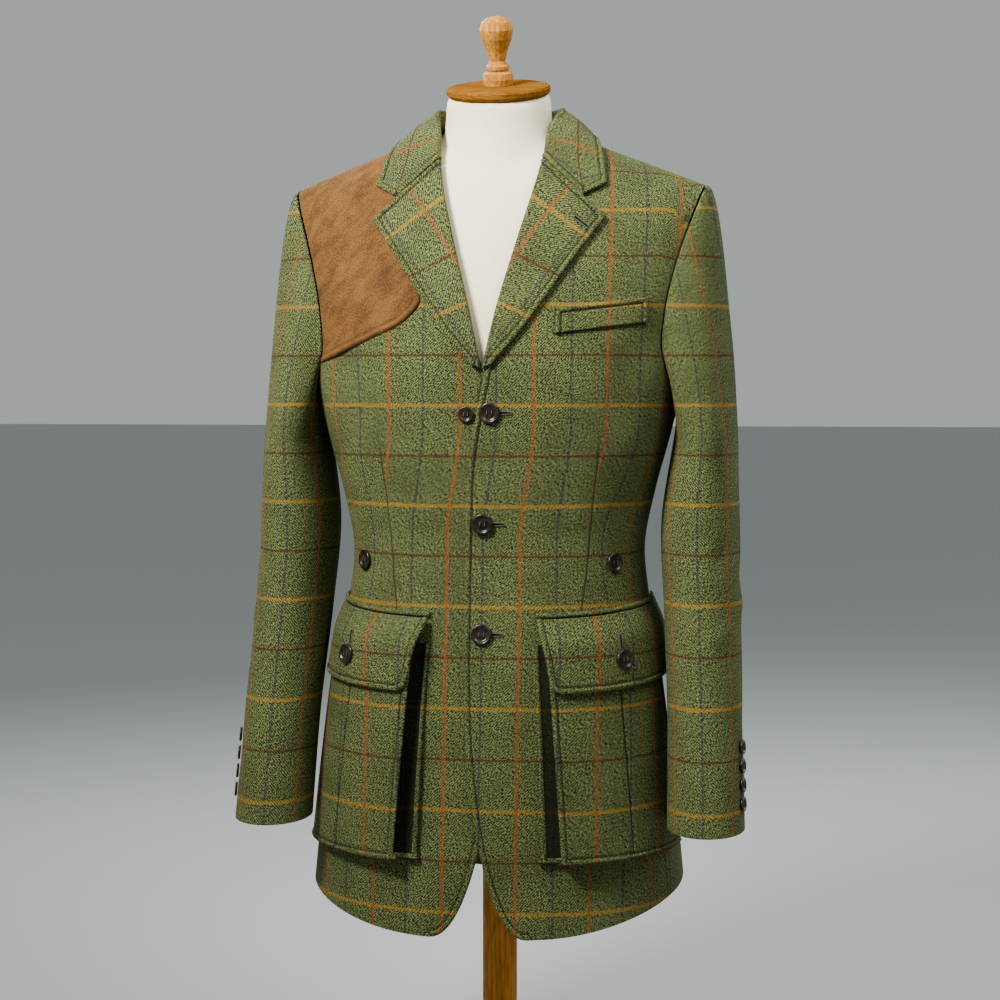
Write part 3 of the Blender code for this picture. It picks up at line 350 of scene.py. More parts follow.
FLAP_BUTTON_ALONG = (FLAP_BUTTON_ANGLE - FLAP_FRONT_ANGLE) / (FLAP_BACK_ANGLE - FLAP_FRONT_ANGLE)
# A button's holes are dark discs of painted shade, with thread between them.
HOLE_SPREAD = 0.23
HOLE_DISC = (-0.0002, 0.00008)
HOLE_SIDES = 12
THREAD_BOW = 1.6
THREAD_STEPS = 7
TUBE_HELPER = (0.3, 0.5, 0.8)
TINY = 1e-9
HOLE_RADIUS = 0.095
THREAD_RADIUS = 0.00045
BUTTONHOLE_LENGTH = 0.019
BUTTONHOLE_WIDTH = 0.0030
BUTTONHOLE_THREAD = 0.0008
BUTTONHOLE_SHIFT = 0.0015
KEYHOLE_SWELL = 0.55
KEYHOLE_START = 0.25
LAPEL_HOLE_ACROSS = 0.80
LAPEL_HOLE_ALONG = 0.86
LAPEL_HOLE_RUN = (0.75, -0.66)
LAPEL_HOLE_STRETCH = 1.05
FLAP_HOLE_RISE = 0.24
FLAP_HOLE_STRETCH = 0.75
# Rows of a buttonhole: the thread loop, and the slit inside it, a dark loop of painted shade.
HoleRow = namedtuple("HoleRow", "width_share rise_share")
HOLE_LOOP = HoleRow(1.0, 0.5)
HOLE_SLIT = HoleRow(0.5, 0.3)

# Dress form and stand
FORM_INSET = 0.009
FORM_SEAT_DROP = 0.0018
FORM_NECK_DROP = 0.005
FORM_BOTTOM_Z = 0.335
FORM_TOP_SHARE = 0.985
FORM_SHOULDER_X = 0.195
FORM_SIDES = 96
FORM_VOXEL = 0.0042
FORM_ROWS = 40
FORM_SHOULDER_ROWS = 34
NECK_ROWS = 30
FORM_SMOOTH = 0.5
FORM_SMOOTH_PASSES = 8
NeckRow = namedtuple("NeckRow", "z centre_y half_width half_depth tilt")
NECK = (
    NeckRow(0.930, -0.004, 0.0740, 0.0700, 0.0),
    NeckRow(0.968, -0.004, 0.0660, 0.0640, 4.0),
    NeckRow(0.995, -0.005, 0.0590, 0.0570, 8.0),
    NeckRow(1.020, -0.007, 0.0545, 0.0530, 13.0),
    NeckRow(1.048, -0.009, 0.0530, 0.0520, 16.0),
)

# Woven check, in metres on the cloth
WEFT_REPEAT = 0.098
WEFT_START = 0.735
WARP_REPEAT = 0.0725
BACK_WARP = 0.906
BACK_WAIST_WARP = 1.04
BACK_WAIST_Z = 0.585
BACK_WAIST_SPAN = 0.11
BACK_TAKE = 0.0315
BACK_SEAM_TAKE = 0.0030
BACK_CLIMB_X = 0.105
BACK_TAKE_TOP_Z = 0.850
FRONT_LEAN = 0.0145
FRONT_LEAN_LOW_Z = 0.60
FRONT_LEAN_HIGH_Z = 0.72
DART_TAKE = 0.0245
DART_FOOT = (-0.06, 0.05)
DART_HEAD = (-0.10, 0.01)
SLEEVE_NAVY_TURN = 92.0
SLEEVE_HEAD_X = 0.175
SLEEVE_HEAD_DEPTH = 0.090
COLLAR_WEFT = 0.028
LAPEL_WARP = 0.0124
LAPEL_WEFT = 0.765
FAR_REPEATS = 10
YARN_SHADE = 0.45
YARN_WANDER = 0.0014
YARN_ROUGH = 0.0020
BROWN_WIDTH = 0.0020
NAVY_WIDTH = 0.0022
NAVY_COVER = 0.85
MUSTARD_WIDTH = 0.0033
MUSTARD_COVER = 0.84
ORANGE_WIDTH = 0.0034
ORANGE_COVER = 0.80
STITCH_WIDTH = 0.0014
STITCH_SOFT = 0.0010
SEAM_WIDTH = 0.0010
SEAM_SOFT = 0.0012
WOOL_ACROSS = 680.0
WOOL_ALONG = 290.0
FLECK_GRAIN = 860.0
CLOUD_GRAIN = 22.0
WANDER_GRAIN = 70.0
FLOOR_SHADE = 0.985

# Creases: a line on the cloth, how wide and how deep (minus is a hollow)
Crease = namedtuple("Crease", "x0 z0 x1 z1 width depth")
CREASE_START = (-0.15, 0.3)
CREASE_END = (0.7, 1.15)
FRONT_CREASES = (
    Crease(0.055, 0.660, 0.150, 0.625, 0.016, -0.0016),
    Crease(0.030, 0.575, 0.125, 0.560, 0.012, 0.0012),
    Crease(0.040, 0.605, 0.120, 0.612, 0.010, -0.0012),
    Crease(0.045, 0.430, 0.075, 0.250, 0.022, -0.0020),
    Crease(0.015, 0.380, 0.030, 0.260, 0.016, 0.0014),
    Crease(0.150, 0.800, 0.120, 0.700, 0.018, -0.0022),
    Crease(0.168, 0.790, 0.150, 0.690, 0.012, 0.0018),
)
BACK_CREASES = (
    Crease(0.012, 0.960, 0.016, 0.560, 0.014, 0.0022),
    Crease(0.030, 0.900, 0.028, 0.600, 0.020, -0.0018),
    Crease(0.165, 0.880, 0.150, 0.690, 0.016, 0.0030),
    Crease(0.145, 0.860, 0.125, 0.650, 0.018, -0.0024),
    Crease(0.030, 0.600, 0.115, 0.585, 0.012, -0.0014),
    Crease(0.020, 0.570, 0.100, 0.560, 0.010, 0.0012),
    Crease(0.060, 0.470, 0.075, 0.245, 0.024, -0.0022),
    Crease(0.105, 0.480, 0.120, 0.250, 0.018, 0.0018),
)
SLEEVE_CREASES = (
    Crease(-0.060, 0.590, 0.010, 0.560, 0.012, -0.0020),
    Crease(-0.050, 0.545, 0.030, 0.530, 0.010, 0.0018),
    Crease(0.020, 0.610, 0.080, 0.575, 0.012, -0.0022),
    Crease(0.030, 0.520, 0.090, 0.500, 0.010, 0.0016),
    Crease(-0.010, 0.830, 0.015, 0.660, 0.016, 0.0016),
    Crease(0.050, 0.800, 0.060, 0.690, 0.012, -0.0020),
    Crease(-0.030, 0.470, 0.020, 0.380, 0.016, -0.0012),
)
FRONT_DART = Crease(0.112, 0.695, 0.095, 0.532, 0.0, 0.0)
UNDER_DART_SHIFT = 0.0080
UNDER_REACH = 0.0085
UNDER_REACH_Z = 0.764
UNDER_REACH_SPAN = 0.016
UNDER_REACH_FADE = 0.040

# Lights round the stand: direction, place, size, power, cone of light and the height aimed at
Lamp = namedtuple("Lamp", "name azimuth height distance size power spread aim_z")
LAMPS = (
    Lamp("key", -34.0, 1.90, 1.50, 0.6, 12.5, 60.0, 0.95),
    Lamp("fill", 62.0, 2.0, 1.05, 0.8, 17.0, 180.0, 0.68),
    Lamp("rear_left", 215.0, 1.85, 1.6, 1.0, 34.0, 180.0, 0.68),
    Lamp("rear_right", 128.0, 1.70, 2.2, 1.3, 20.0, 180.0, 0.68),
    Lamp("top", 0.0, 2.60, 0.3, 1.2, 6.0, 180.0, 0.68),
)


def smooth(keys, values, at):
    """Reads a smooth curve through the values at their keys."""
    keys = np.asarray(keys, float)
    values = np.asarray(values, float)
    slopes = np.gradient(values, keys)
    at = np.clip(at, keys[0], keys[-1])
    low = np.clip(np.searchsorted(keys, at, side="right") - 1, 0, len(keys) - 2)
    step = keys[low + 1] - keys[low]
    t = (at - keys[low]) / step
    start = (2 * t**3 - 3 * t**2 + 1) * values[low] + (t**3 - 2 * t**2 + t) * step * slopes[low]
    end = (3 * t**2 - 2 * t**3) * values[low + 1] + (t**3 - t**2) * step * slopes[low + 1]
    return start + end


def column(table, name, at, key="z"):
    """Reads one column of a table at a key."""
    return smooth([getattr(row, key) for row in table], [getattr(row, name) for row in table], at)


def ease(value, start, end):
    """Goes smoothly from 0 at start to 1 at end."""
    t = np.clip((value - start) / (end - start), 0.0, 1.0)
    return t * t * (3 - 2 * t)


def mix(a, b, t):
    return a + (b - a) * t


def unit(vectors):
    return vectors / np.linalg.norm(vectors, axis=-1, keepdims=True)


def stack(x, y, z):
    return np.stack(np.broadcast_arrays(x, y, z), axis=-1)


def shoulder_z(x):
    """Height of the shoulder line at a distance from the middle."""
    return NECK_Z - (np.abs(x) - NECK_X) * (NECK_Z - SHOULDER_Z) / (SHOULDER_X - NECK_X)


def trunk_depth(x, z, side, squareness, roundness, inset=0.0, half_width=None, drop=0.0):
    """Distance of the trunk from the shoulder seam's plane, to the front or the back."""
    width = column(TRUNK, "half_width", z) if half_width is None else half_width
    across = np.clip(np.abs(x) / width, 0.0, 1.0)
    level = np.clip((z - CHEST_Z) / (shoulder_z(x) - drop - CHEST_Z), 0.0, 1.0)
    closing = (1 - level**roundness) ** (1 / roundness)
    return (column(TRUNK, side, z) - inset) * (1 - across**squareness) ** (1 / squareness) * closing


def front_y(x, z):
    return -trunk_depth(x, z, *FRONT_FACE)


def back_y(x, z):
    return trunk_depth(x, z, *BACK_FACE)


def on_face(depth, facing, x, z, out):
    """Points of the front or the back over (x, z), moved out along the cloth's normal, and the normals."""
    step = 0.0004
    slope_x = (depth(x + step, z) - depth(x - step, z)) / (2 * step)
    slope_z = (depth(x, z + step) - depth(x, z - step)) / (2 * step)
    normals = unit(stack(-facing * slope_x, facing * np.ones_like(slope_x), -facing * slope_z))
    return stack(x, depth(x, z), z) + normals * np.asarray(out)[..., None], normals


def on_front(x, z, out=0.0):
    return on_face(front_y, -1, x, z, np.broadcast_to(out, np.shape(x)))


def on_back(x, z, out=0.0):
    return on_face(back_y, 1, x, z, np.broadcast_to(out, np.shape(x)))


def across_at(angle, z):
    """Distance from the middle at an angle round the trunk from centre front."""
    squareness = np.where(angle <= pi / 2, FRONT_SQUARENESS, BACK_SQUARENESS)
    return column(TRUNK, "half_width", z) * np.clip(np.sin(angle), 0.0, 1.0) ** (2 / squareness)


def trunk_point(angle, z):
    x = across_at(angle, z)
    return stack(x, np.where(angle <= pi / 2, front_y(x, z), back_y(x, z)), z)


def round_trunk(angle, z, out=0.0):
    """Points of the trunk at angles from centre front, moved out, and their normals."""
    turn = 0.004
    rise = 0.0005
    along = trunk_point(angle + turn, z) - trunk_point(angle - turn, z)
    up = trunk_point(angle, z + rise) - trunk_point(angle, z - rise)
    normals = unit(np.cross(along, up))
    return trunk_point(angle, z) + normals * np.broadcast_to(out, np.shape(angle))[..., None], normals


def hem_z(angle):
    """Height of the hem, which is cut higher at the sides."""
    middle = np.where(angle <= pi / 2, FRONT_HEM_Z, BACK_HEM_Z)
    return mix(middle, (FRONT_HEM_Z + BACK_HEM_Z) / 2 + HEM_SIDE_LIFT, np.sin(angle) ** 2)


def angle_of(x, z, squareness):
    across = np.clip(np.abs(x) / column(TRUNK, "half_width", z), 0.0, 1.0)
    return np.arcsin(across ** (squareness / 2))


def girth(angle, z, steps=48):
    """Length along the cloth from centre front to an angle, at one height."""
    total = np.zeros(np.shape(angle))
    before = trunk_point(np.zeros_like(angle), z)
    for step in range(1, steps + 1):
        after = trunk_point(angle * step / steps, z)
        total = total + np.linalg.norm(after - before, axis=-1)
        before = after
    return total


def climb(depth, x, z, steps=40):
    """Length up the cloth, counted as height below the chest and along the cloth above it."""
    start = np.full(np.shape(z), CHEST_Z)
    total = np.zeros(np.shape(z))
    before = depth(x, start)
    rise = np.maximum(z - CHEST_Z, 0.0) / steps
    for step in range(1, steps + 1):
        after = depth(x, start + rise * step)
        total = total + np.hypot(after - before, rise)
        before = after
    return np.minimum(z, CHEST_Z) + total


def spread(count, length, finest=0.0005):
    """Shares from 0 to 1, with extra ones near both ends for a rounded edge."""
    shares = np.linspace(0.0, 1.0, count)
    near = np.concatenate([[finest, 2 * finest], np.arange(1, 9) * EDGE_STEP]) / length
    return np.unique(np.concatenate([shares, near, 1 - near]))


def margins(points):
    """Lengths along the cloth from the start and end of each row, and of each column."""
    across = np.linalg.norm(np.diff(points, axis=1), axis=2)
    start = np.concatenate([np.zeros((len(points), 1)), np.cumsum(across, axis=1)], axis=1)
    upward = np.linalg.norm(np.diff(points, axis=0), axis=2)
    low = np.concatenate([np.zeros((1, points.shape[1])), np.cumsum(upward, axis=0)], axis=0)
    return {"start": start, "end": start[:, -1:] - start, "low": low, "high": low[-1:] - low}


def along_run(run, share):
    """Points at shares of a run's length."""
    lengths = np.concatenate([[0.0], np.cumsum(np.linalg.norm(np.diff(run, axis=0), axis=1))])
    return np.stack([np.interp(share * lengths[-1], lengths, run[:, axis]) for axis in range(3)], axis=-1)


def edge_distance(points, sides):
    """Distance of each point from the sewn sides of its lattice."""
    rims = {"start": points[:, 0], "end": points[:, -1], "low": points[0], "high": points[-1]}
    runs = [along_run(rims[side], np.linspace(0.0, 1.0, 900)) for side in sides]
    if not runs:
        return np.full(points.shape[:2], NO_STITCH)
    rim = np.concatenate(runs)
    tree = KDTree(len(rim))
    for number, point in enumerate(rim):
        tree.insert(point, number)
    tree.balance()
    found = [tree.find(point)[2] for point in points.reshape(-1, 3)]
    return np.array(found).reshape(points.shape[:2])


def beside_line(across, up, line):
    """Length along a line and signed distance aside from it at each place, and the line's length."""
    run = np.array([line.x1 - line.x0, line.z1 - line.z0])
    length = np.hypot(*run)
    run = run / length
    along = (across - line.x0) * run[0] + (up - line.z0) * run[1]
    beside = (across - line.x0) * run[1] - (up - line.z0) * run[0]
    return along, beside, length


def line_distance(across, up, line):
    """Signed distance of each place from a line on the cloth, up to the reach of a stitch row."""
    along, beside, length = beside_line(across, up, line)
    past = np.maximum(np.maximum(-along, along - length), 0.0)
    signed = np.where(beside < 0, -1.0, 1.0) * np.hypot(beside, past)
    return np.where(np.abs(signed) < NO_STITCH, signed, NO_STITCH)


def crease_height(across, up, creases):
    """How far the creases lift the cloth at each place."""
    height = np.zeros(np.shape(across))
    for crease in creases:
        along, beside, length = beside_line(across, up, crease)
        fade = ease(along / length, *CREASE_START) * (1 - ease(along / length, *CREASE_END))
        height = height + crease.depth * fade * np.exp(-((beside / crease.width) ** 2))
    return height


def mirrored(points, side):
    """The lattice on the wearer's left (+1) or right (-1)."""
    return points * np.array([side, 1.0, 1.0])


def lattice_faces(rows, columns, flip):
    """Faces of a closed wall between two lattices of the same size."""
    count = rows * columns
    index = np.arange(count).reshape(rows, columns)
    corners = (index[:-1, :-1], index[:-1, 1:], index[1:, 1:], index[1:, :-1])
    quads = np.stack(corners, axis=-1).reshape(-1, 4)
    rim = np.concatenate([index[0, :-1], index[:-1, -1], index[-1, :0:-1], index[:0:-1, 0]])
    after = np.roll(rim, -1)
    sides = np.stack([after, rim, rim + count, after + count], axis=-1)
    faces = np.concatenate([quads, quads[:, ::-1] + count, sides])
    return faces[:, ::-1] if flip else faces


def new_piece(name, points, faces, paint, maps=None):
    """A named object on the jacket's body, shaded smooth, with its maps of the cloth."""
    mesh = bpy.data.meshes.new(name)
    mesh.from_pydata(points.tolist(), [], faces)
    mesh.shade_smooth()
    corner = np.empty(len(mesh.loops), np.int32)
    mesh.loops.foreach_get("vertex_index", corner)
    for map_name, values in (maps or {}).items():
        layer = mesh.uv_layers.new(name=map_name)
        layer.uv.foreach_set("vector", np.asarray(values, np.float32)[corner].reshape(-1))
    mesh.materials.append(bpy.data.materials[f"fine_{paint}"])
    piece = bpy.data.objects.new(name, mesh)
    bpy.context.scene.collection.objects.link(piece)
    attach(piece, "root")
    return piece


def rounding(distance, radius):
    """How far a rounded edge sinks at a distance from it."""
    inward = 1 - np.clip(distance / radius, 0.0, 1.0)
    return radius * (1 - np.sqrt(1 - inward**2))


def cloth_shell(node, points, normals, places, side=1, sewn=(), lines=None, thickness=CLOTH, paint="tweed",
                held="hung", rests_on=("form_torso",), stitch=None):
    """The cloth that stands for one solid; its flat cut is worked out but not kept."""
    rim = margins(points)
    stitch = edge_distance(points, sewn) if stitch is None else stitch
    swell = EDGE_SWELL * np.sin(pi * np.clip(stitch / STITCH_INSET, 0.0, 1.0))
    swell = swell - STITCH_SINK * np.exp(-(((stitch - STITCH_INSET) / EDGE_STEP) ** 2))
    sunk = np.zeros(points.shape[:2])
    for name, distance in rim.items():
        sunk = np.maximum(sunk, rounding(distance, EDGE_ROUND if name in sewn else SEAM_ROUND))
    outside = mirrored(points + normals * (swell - sunk)[..., None], side)
    inside = mirrored(points - normals * thickness, side)
    rows, columns = points.shape[:2]
    first = np.cross(outside[rows // 2, columns // 2 + 1] - outside[rows // 2, columns // 2],
                     outside[rows // 2 + 1, columns // 2] - outside[rows // 2, columns // 2])
    outward = outside[rows // 2, columns // 2] - inside[rows // 2, columns // 2]
    faces = lattice_faces(rows, columns, np.dot(first, outward) < 0)
    # The second value of the edge map is the distance from lines painted with shade: seams, darts, pleats,
    # gussets and outlines.
    seam = np.full((rows, columns), NO_STITCH) if lines is None else lines
    around = side * (places[0] + FAR_REPEATS * WARP_REPEAT)
    cloth = np.stack([around, places[1] + 0 * around], axis=-1)
    maps = {
        "cloth": np.tile(cloth.reshape(-1, 2), (2, 1)),
        "edge": np.tile(np.stack([stitch, seam], axis=-1).reshape(-1, 2), (2, 1)),
    }
    both = np.concatenate([outside.reshape(-1, 3), inside.reshape(-1, 3)])
    piece = new_piece(f"cloth_{node}", both, faces.tolist(), paint, maps)
    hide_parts(node)
    declare(points, rim, held, rests_on)
    return piece


def cloth_pair(node, points, normals, places, sewn=(), **more):
    """The same cloth on the wearer's left and right, each resting on its front."""
    for side, word in SIDES:
        rests_on = (f"front_{word}",)
        cloth_shell(f"{node}_{word}", points, normals, places, side, sewn, rests_on=rests_on, **more)


def declare(points, rim, held, rests_on):
    """Works out the flat cut of a cloth piece, from its lengths and its area, and keeps none of it."""
    cells = np.cross(points[1:, 1:] - points[:-1, :-1], points[1:, :-1] - points[:-1, 1:])
    area = float(np.linalg.norm(cells, axis=-1).sum() / 2)
    width = round(max(float(rim["start"].max()), NARROWEST_CUT), 4)
    length = round(max(float(rim["low"].max()), NARROWEST_CUT), 4)
    area = min(max(area, 0.3 * width * length), width * length)
    list(rests_on)


class Wire:
    """A socket in a material, for sums written as plain expressions."""

    def __init__(self, paint, socket):
        self.paint = paint
        self.socket = socket

    def maths(self, operation, *values):
        return self.paint.add("ShaderNodeMath", {"operation": operation}, dict(enumerate(values)))

    def __add__(self, other):
        return self.maths("ADD", self, other)

    __radd__ = __add__

    def __sub__(self, other):
        return self.maths("SUBTRACT", self, other)

    def __rsub__(self, other):
        return self.maths("SUBTRACT", other, self)

    def __mul__(self, other):
        return self.maths("MULTIPLY", self, other)

    __rmul__ = __mul__

    def __truediv__(self, other):
        return self.maths("DIVIDE", self, other)

    def __mod__(self, other):
        return self.maths("FLOORED_MODULO", self, other)

    def size(self):
        """The value without its sign."""
        return self.maths("ABSOLUTE", self)

    def held(self):
        """The value, kept from 0 to 1."""
        return self.paint.add("ShaderNodeClamp", {}, {"Value": self})


class Paint:
    """One material and the nodes that make its finish."""

    def __init__(self, name):
        self.material = bpy.data.materials.new(f"fine_{name}")
        self.material.use_nodes = True
        self.tree = self.material.node_tree
        self.shader = self.tree.nodes["Principled BSDF"]

    def feed(self, socket, value):
        if isinstance(value, Wire):
            self.tree.links.new(value.socket, socket)
        else:
            socket.default_value = value

    def add(self, kind, settings, values, out=0):
        """Adds a node: its settings first, then the values or links of its sockets. Gives one output."""
        node = self.tree.nodes.new(kind)
        for name, setting in settings.items():
            setattr(node, name, setting)
        for name, value in values.items():
            self.feed(node.inputs[name], value)
        return Wire(self, node.outputs[out])

    def place(self, map_name):
        """The two values of a map of the cloth, and the map itself."""
        spot = self.add("ShaderNodeUVMap", {"uv_map": map_name}, {})
        across = self.add("ShaderNodeSeparateXYZ", {}, {0: spot}, 0)
        up = self.add("ShaderNodeSeparateXYZ", {}, {0: spot}, 1)
        return across, up, spot

    def room(self):
        """Places in the piece's own frame."""
        return self.add("ShaderNodeTexCoord", {}, {}, 3)

    def noise(self, spot, scale, detail=2.0, roughness=0.5):
        values = {"Vector": spot, "Scale": scale, "Detail": detail, "Roughness": roughness}
        return self.add("ShaderNodeTexNoise", {}, values)

    def blend(self, share, first, second):
        """A colour between two others."""
        return self.add("ShaderNodeMix", {"data_type": "RGBA"}, {0: share, 6: first, 7: second}, 2)

    def bump(self, height, distance, strength=1.0):
        return self.add("ShaderNodeBump", {}, {"Height": height, "Distance": distance, "Strength": strength})

    def finish(self, colour, roughness, normal, constants):
        """Feeds the shader. The constants are set straight on its sockets."""
        self.feed(self.shader.inputs["Base Color"], colour)
        self.feed(self.shader.inputs["Roughness"], roughness)
        self.feed(self.shader.inputs["Normal"], normal)
        for name, value in constants.items():
            self.shader.inputs[name].default_value = value
        return self.material


def stripe(value, centre, repeat, width, soft=0.0012):
    """How strongly a repeated woven line covers each place."""
    away = ((value - centre + repeat / 2) % repeat - repeat / 2).size()
    return ((width / 2 - away) / soft + 0.5).held()


def line(value, centre, width, soft):
    """How strongly a single line covers each place."""
    return ((width / 2 - (value - centre).size()) / soft + 0.5).held()


def opaque(colour):
    return (*colour, 1.0)


def tweed_paint(looks):
    """Heathered green twill with a windowpane of four yarns and sewn edges and seams. Painted shade runs
    along the stitch rows and along the shade lines: seams, darts, pocket pleats, gussets and the welt's
    outline.
    """
    paint = Paint("tweed")
    across, up, spot = paint.place("cloth")
    stitch_at, shade_line_at, _ = paint.place("edge")
    slanted = {0: (across - up) * WOOL_ACROSS, 1: (across + up) * WOOL_ALONG}
    slant = paint.add("ShaderNodeCombineXYZ", {}, slanted)
    wool = paint.noise(slant, 1.0, 1.0, 0.5)
    fleck = paint.noise(spot, FLECK_GRAIN, 1.0, 0.5)
    cloud = paint.noise(spot, CLOUD_GRAIN, 3.0, 0.5)
    wander = (paint.noise(spot, WANDER_GRAIN, 1.0) - 0.5) * YARN_WANDER
    rough = (wool - 0.5) * YARN_ROUGH
    twill = (((across - up) + rough * 0.8) / looks.twill % 1.0 - 0.5).size() * 2.0
    light = ((wool - 0.5) * 5.8 + (fleck - 0.5) * 4.0 + (twill - 0.5) * 1.3 + 0.41).held()
    ground = paint.blend(light, opaque(looks.dark_green), opaque(looks.light_green))
    straw = ((fleck + wool * 0.8 - 1.06) * 8.0).held()
    ground = paint.blend(straw * 0.6, ground, opaque(looks.straw))
    ground = paint.blend((cloud - 0.38).held() * 0.9, ground, opaque(looks.dark_green))
    weft = up + wander + rough
    warp = across + wander + rough
    rope = (((across - up) + rough * 0.5) / looks.rope % 1.0 - 0.5).size() * 2.0
    ply = ((rope * 1.2 + wool * 0.8 - 0.62) * 2.4).held() * 0.8 + 0.2
    dash = (((up + rough) / looks.dash % 1.0 - 0.5).size() * 6.0 - 0.6).held()
    between = WEFT_START + WEFT_REPEAT / 2
    lines = (
        (stripe(weft, between, WEFT_REPEAT, BROWN_WIDTH) * (0.5 + ply * 0.5), looks.brown),
        (stripe(warp, 0.0, WARP_REPEAT, NAVY_WIDTH) * (0.3 + dash * 0.7) * NAVY_COVER, looks.navy),
        (stripe(weft, WEFT_START, WEFT_REPEAT, MUSTARD_WIDTH) * ply * MUSTARD_COVER, looks.mustard),
        (stripe(warp, WARP_REPEAT / 2, WARP_REPEAT, ORANGE_WIDTH) * ply * ORANGE_COVER, looks.orange),
    )
    colour = ground
    for cover, yarn_colour in lines:
        shaded = opaque([part * YARN_SHADE for part in yarn_colour])
        yarn = paint.blend(light * 0.5 + 0.5, shaded, opaque(yarn_colour))
        colour = paint.blend(cover.held(), colour, yarn)
    # Painted shade: the stitch rows and the shade lines (seams, darts, pleats, gussets, the welt's outline)
    # are darkened towards the seam shade colour.
    sewn = line(stitch_at, looks.stitch_inset, STITCH_WIDTH, STITCH_SOFT)
    seam = line(shade_line_at, 0.0, SEAM_WIDTH, SEAM_SOFT)
    groove = (sewn * 0.72 + seam * 0.96).held()
    colour = paint.blend(groove, colour, opaque(looks.shadow_green))
    swell = line(stitch_at, looks.stitch_inset, 0.0020, 0.0030) + line(shade_line_at, 0.0, 0.0012, 0.0024)
    height = wool * 0.5 + fleck * 0.3 + twill * 0.3 - swell * 1.8
    normal = paint.bump(height, 0.0006, 0.6)
    return paint.finish(colour, 0.86 + fleck * 0.12, normal, {
        "Sheen Weight": 0.08, "Sheen Roughness": 0.45, "Sheen Tint": opaque(looks.light_green),
        "Specular IOR Level": 0.14})


def suede_paint(looks):
    """Brushed suede with a soft nap and one row of stitching."""
    paint = Paint("suede")
    across, up, spot = paint.place("cloth")
    stitch_at, _, _ = paint.place("edge")
    nap = paint.noise(spot, 34.0, 4.0, 0.6)
    stretched = paint.add("ShaderNodeCombineXYZ", {}, {0: (across - up) * 62.0, 1: (across + up) * 22.0})
    stroke = paint.noise(stretched, 1.0, 3.0, 0.6)
    grain = paint.noise(spot, 620.0, 2.0, 0.6)
    light = ((nap - 0.5) * 1.2 + (stroke - 0.5) * 1.9 + (grain - 0.5) * 2.8 + 0.5).held()
    colour = paint.blend(light, opaque(looks.dark_suede), opaque(looks.light_suede))
    sewn = line(stitch_at, looks.stitch_inset, 0.0012, 0.0010)
    colour = paint.blend(sewn * 0.6, colour, opaque(looks.dark_suede))
    height = grain * 0.5 + stroke * 0.3 - line(stitch_at, looks.stitch_inset, 0.0020, 0.0030) * 1.4
    normal = paint.bump(height, 0.0006, 0.6)
    return paint.finish(colour, 0.92 + grain * 0.06, normal, {
        "Sheen Weight": 0.35, "Sheen Roughness": 0.4, "Sheen Tint": opaque(looks.light_suede),
        "Specular IOR Level": 0.15})


def cotton_paint(looks):
    """The form's cream cotton cover, finely woven."""
    paint = Paint("linen")
    spot = paint.room()
    weave = paint.noise(spot, 900.0, 2.0, 0.6)
    slub = paint.noise(spot, 120.0, 3.0, 0.6)
    cloud = paint.noise(spot, 9.0, 2.0)
    light = ((weave - 0.5) * 1.2 + (slub - 0.5) * 0.8 + (cloud - 0.5) * 0.6 + 0.6).held()
    colour = paint.blend(light, opaque(looks.dark_cream), opaque(looks.cream))
    normal = paint.bump(weave * 0.6 + slub * 0.4, 0.0005, 0.5)
    return paint.finish(colour, 0.78 + weave * 0.12, normal, {"Sheen Weight": 0.1, "Specular IOR Level": 0.3})


def wood_paint(looks, name="wood", long_grain=(95.0, 95.0, 7.0), pores=(620.0, 620.0, 26.0), shade=1.0,
               gloss=0.25):
    """Varnished honey-brown wood with its grain along the pole."""
    paint = Paint(name)
    spot = paint.room()
    settings = {"vector_type": "POINT"}
    long = paint.add("ShaderNodeMapping", settings, {"Vector": spot, "Scale": long_grain})
    fine = paint.add("ShaderNodeMapping", settings, {"Vector": spot, "Scale": pores})
    grain = paint.noise(long, 1.0, 4.0, 0.6)
    pore = paint.noise(fine, 1.0, 2.0, 0.6)
    ring = ((grain * 7.0) % 1.0 - 0.5).size() * 2.0
    light = (ring * 0.55 + (pore - 0.5) * 0.9 + 0.25).held()
    dark, pale = (opaque([part * shade for part in wood]) for wood in (looks.dark_wood, looks.light_wood))
    colour = paint.blend(light, dark, pale)
    normal = paint.bump(pore * 0.5 + ring * 0.3, 0.0003, 0.35)
    return paint.finish(colour, 0.42 + pore * 0.12, normal, {
        "IOR": 1.2, "Specular IOR Level": gloss})


def board_paint(looks):
    """The same wood cut as a darker board, with its grain across the part."""
    return wood_paint(looks, "board", (7.0, 95.0, 95.0), (26.0, 620.0, 620.0), 0.40, 0.0)


def horn_paint(looks):
    """Dark horn with cloudy streaks."""
    paint = Paint("horn")
    spot = paint.room()
    streak = paint.noise(spot, 190.0, 4.0, 0.6)
    scuff = paint.noise(spot, 900.0, 2.0)
    colour = paint.blend(((streak - 0.45) * 3.0).held(), opaque(looks.dark_horn), opaque(looks.light_horn))
    normal = paint.bump(scuff, 0.0002, 0.2)
    return paint.finish(colour, 0.22 + scuff * 0.14, normal, {"Specular IOR Level": 0.3, "Coat Weight": 0.1,
                                                             "Coat Roughness": 0.16})


def thread_paint(looks):
    """Twisted sewing thread."""
    paint = Paint("thread")
    spot = paint.room()
    twist = paint.noise(spot, 1600.0, 2.0)
    colour = paint.blend(twist, opaque(looks.shadow_green), opaque(looks.thread))
    normal = paint.bump(twist, 0.0004, 0.6)
    return paint.finish(colour, 0.8 + twist * 0.1, normal, {"Sheen Weight": 0.1})


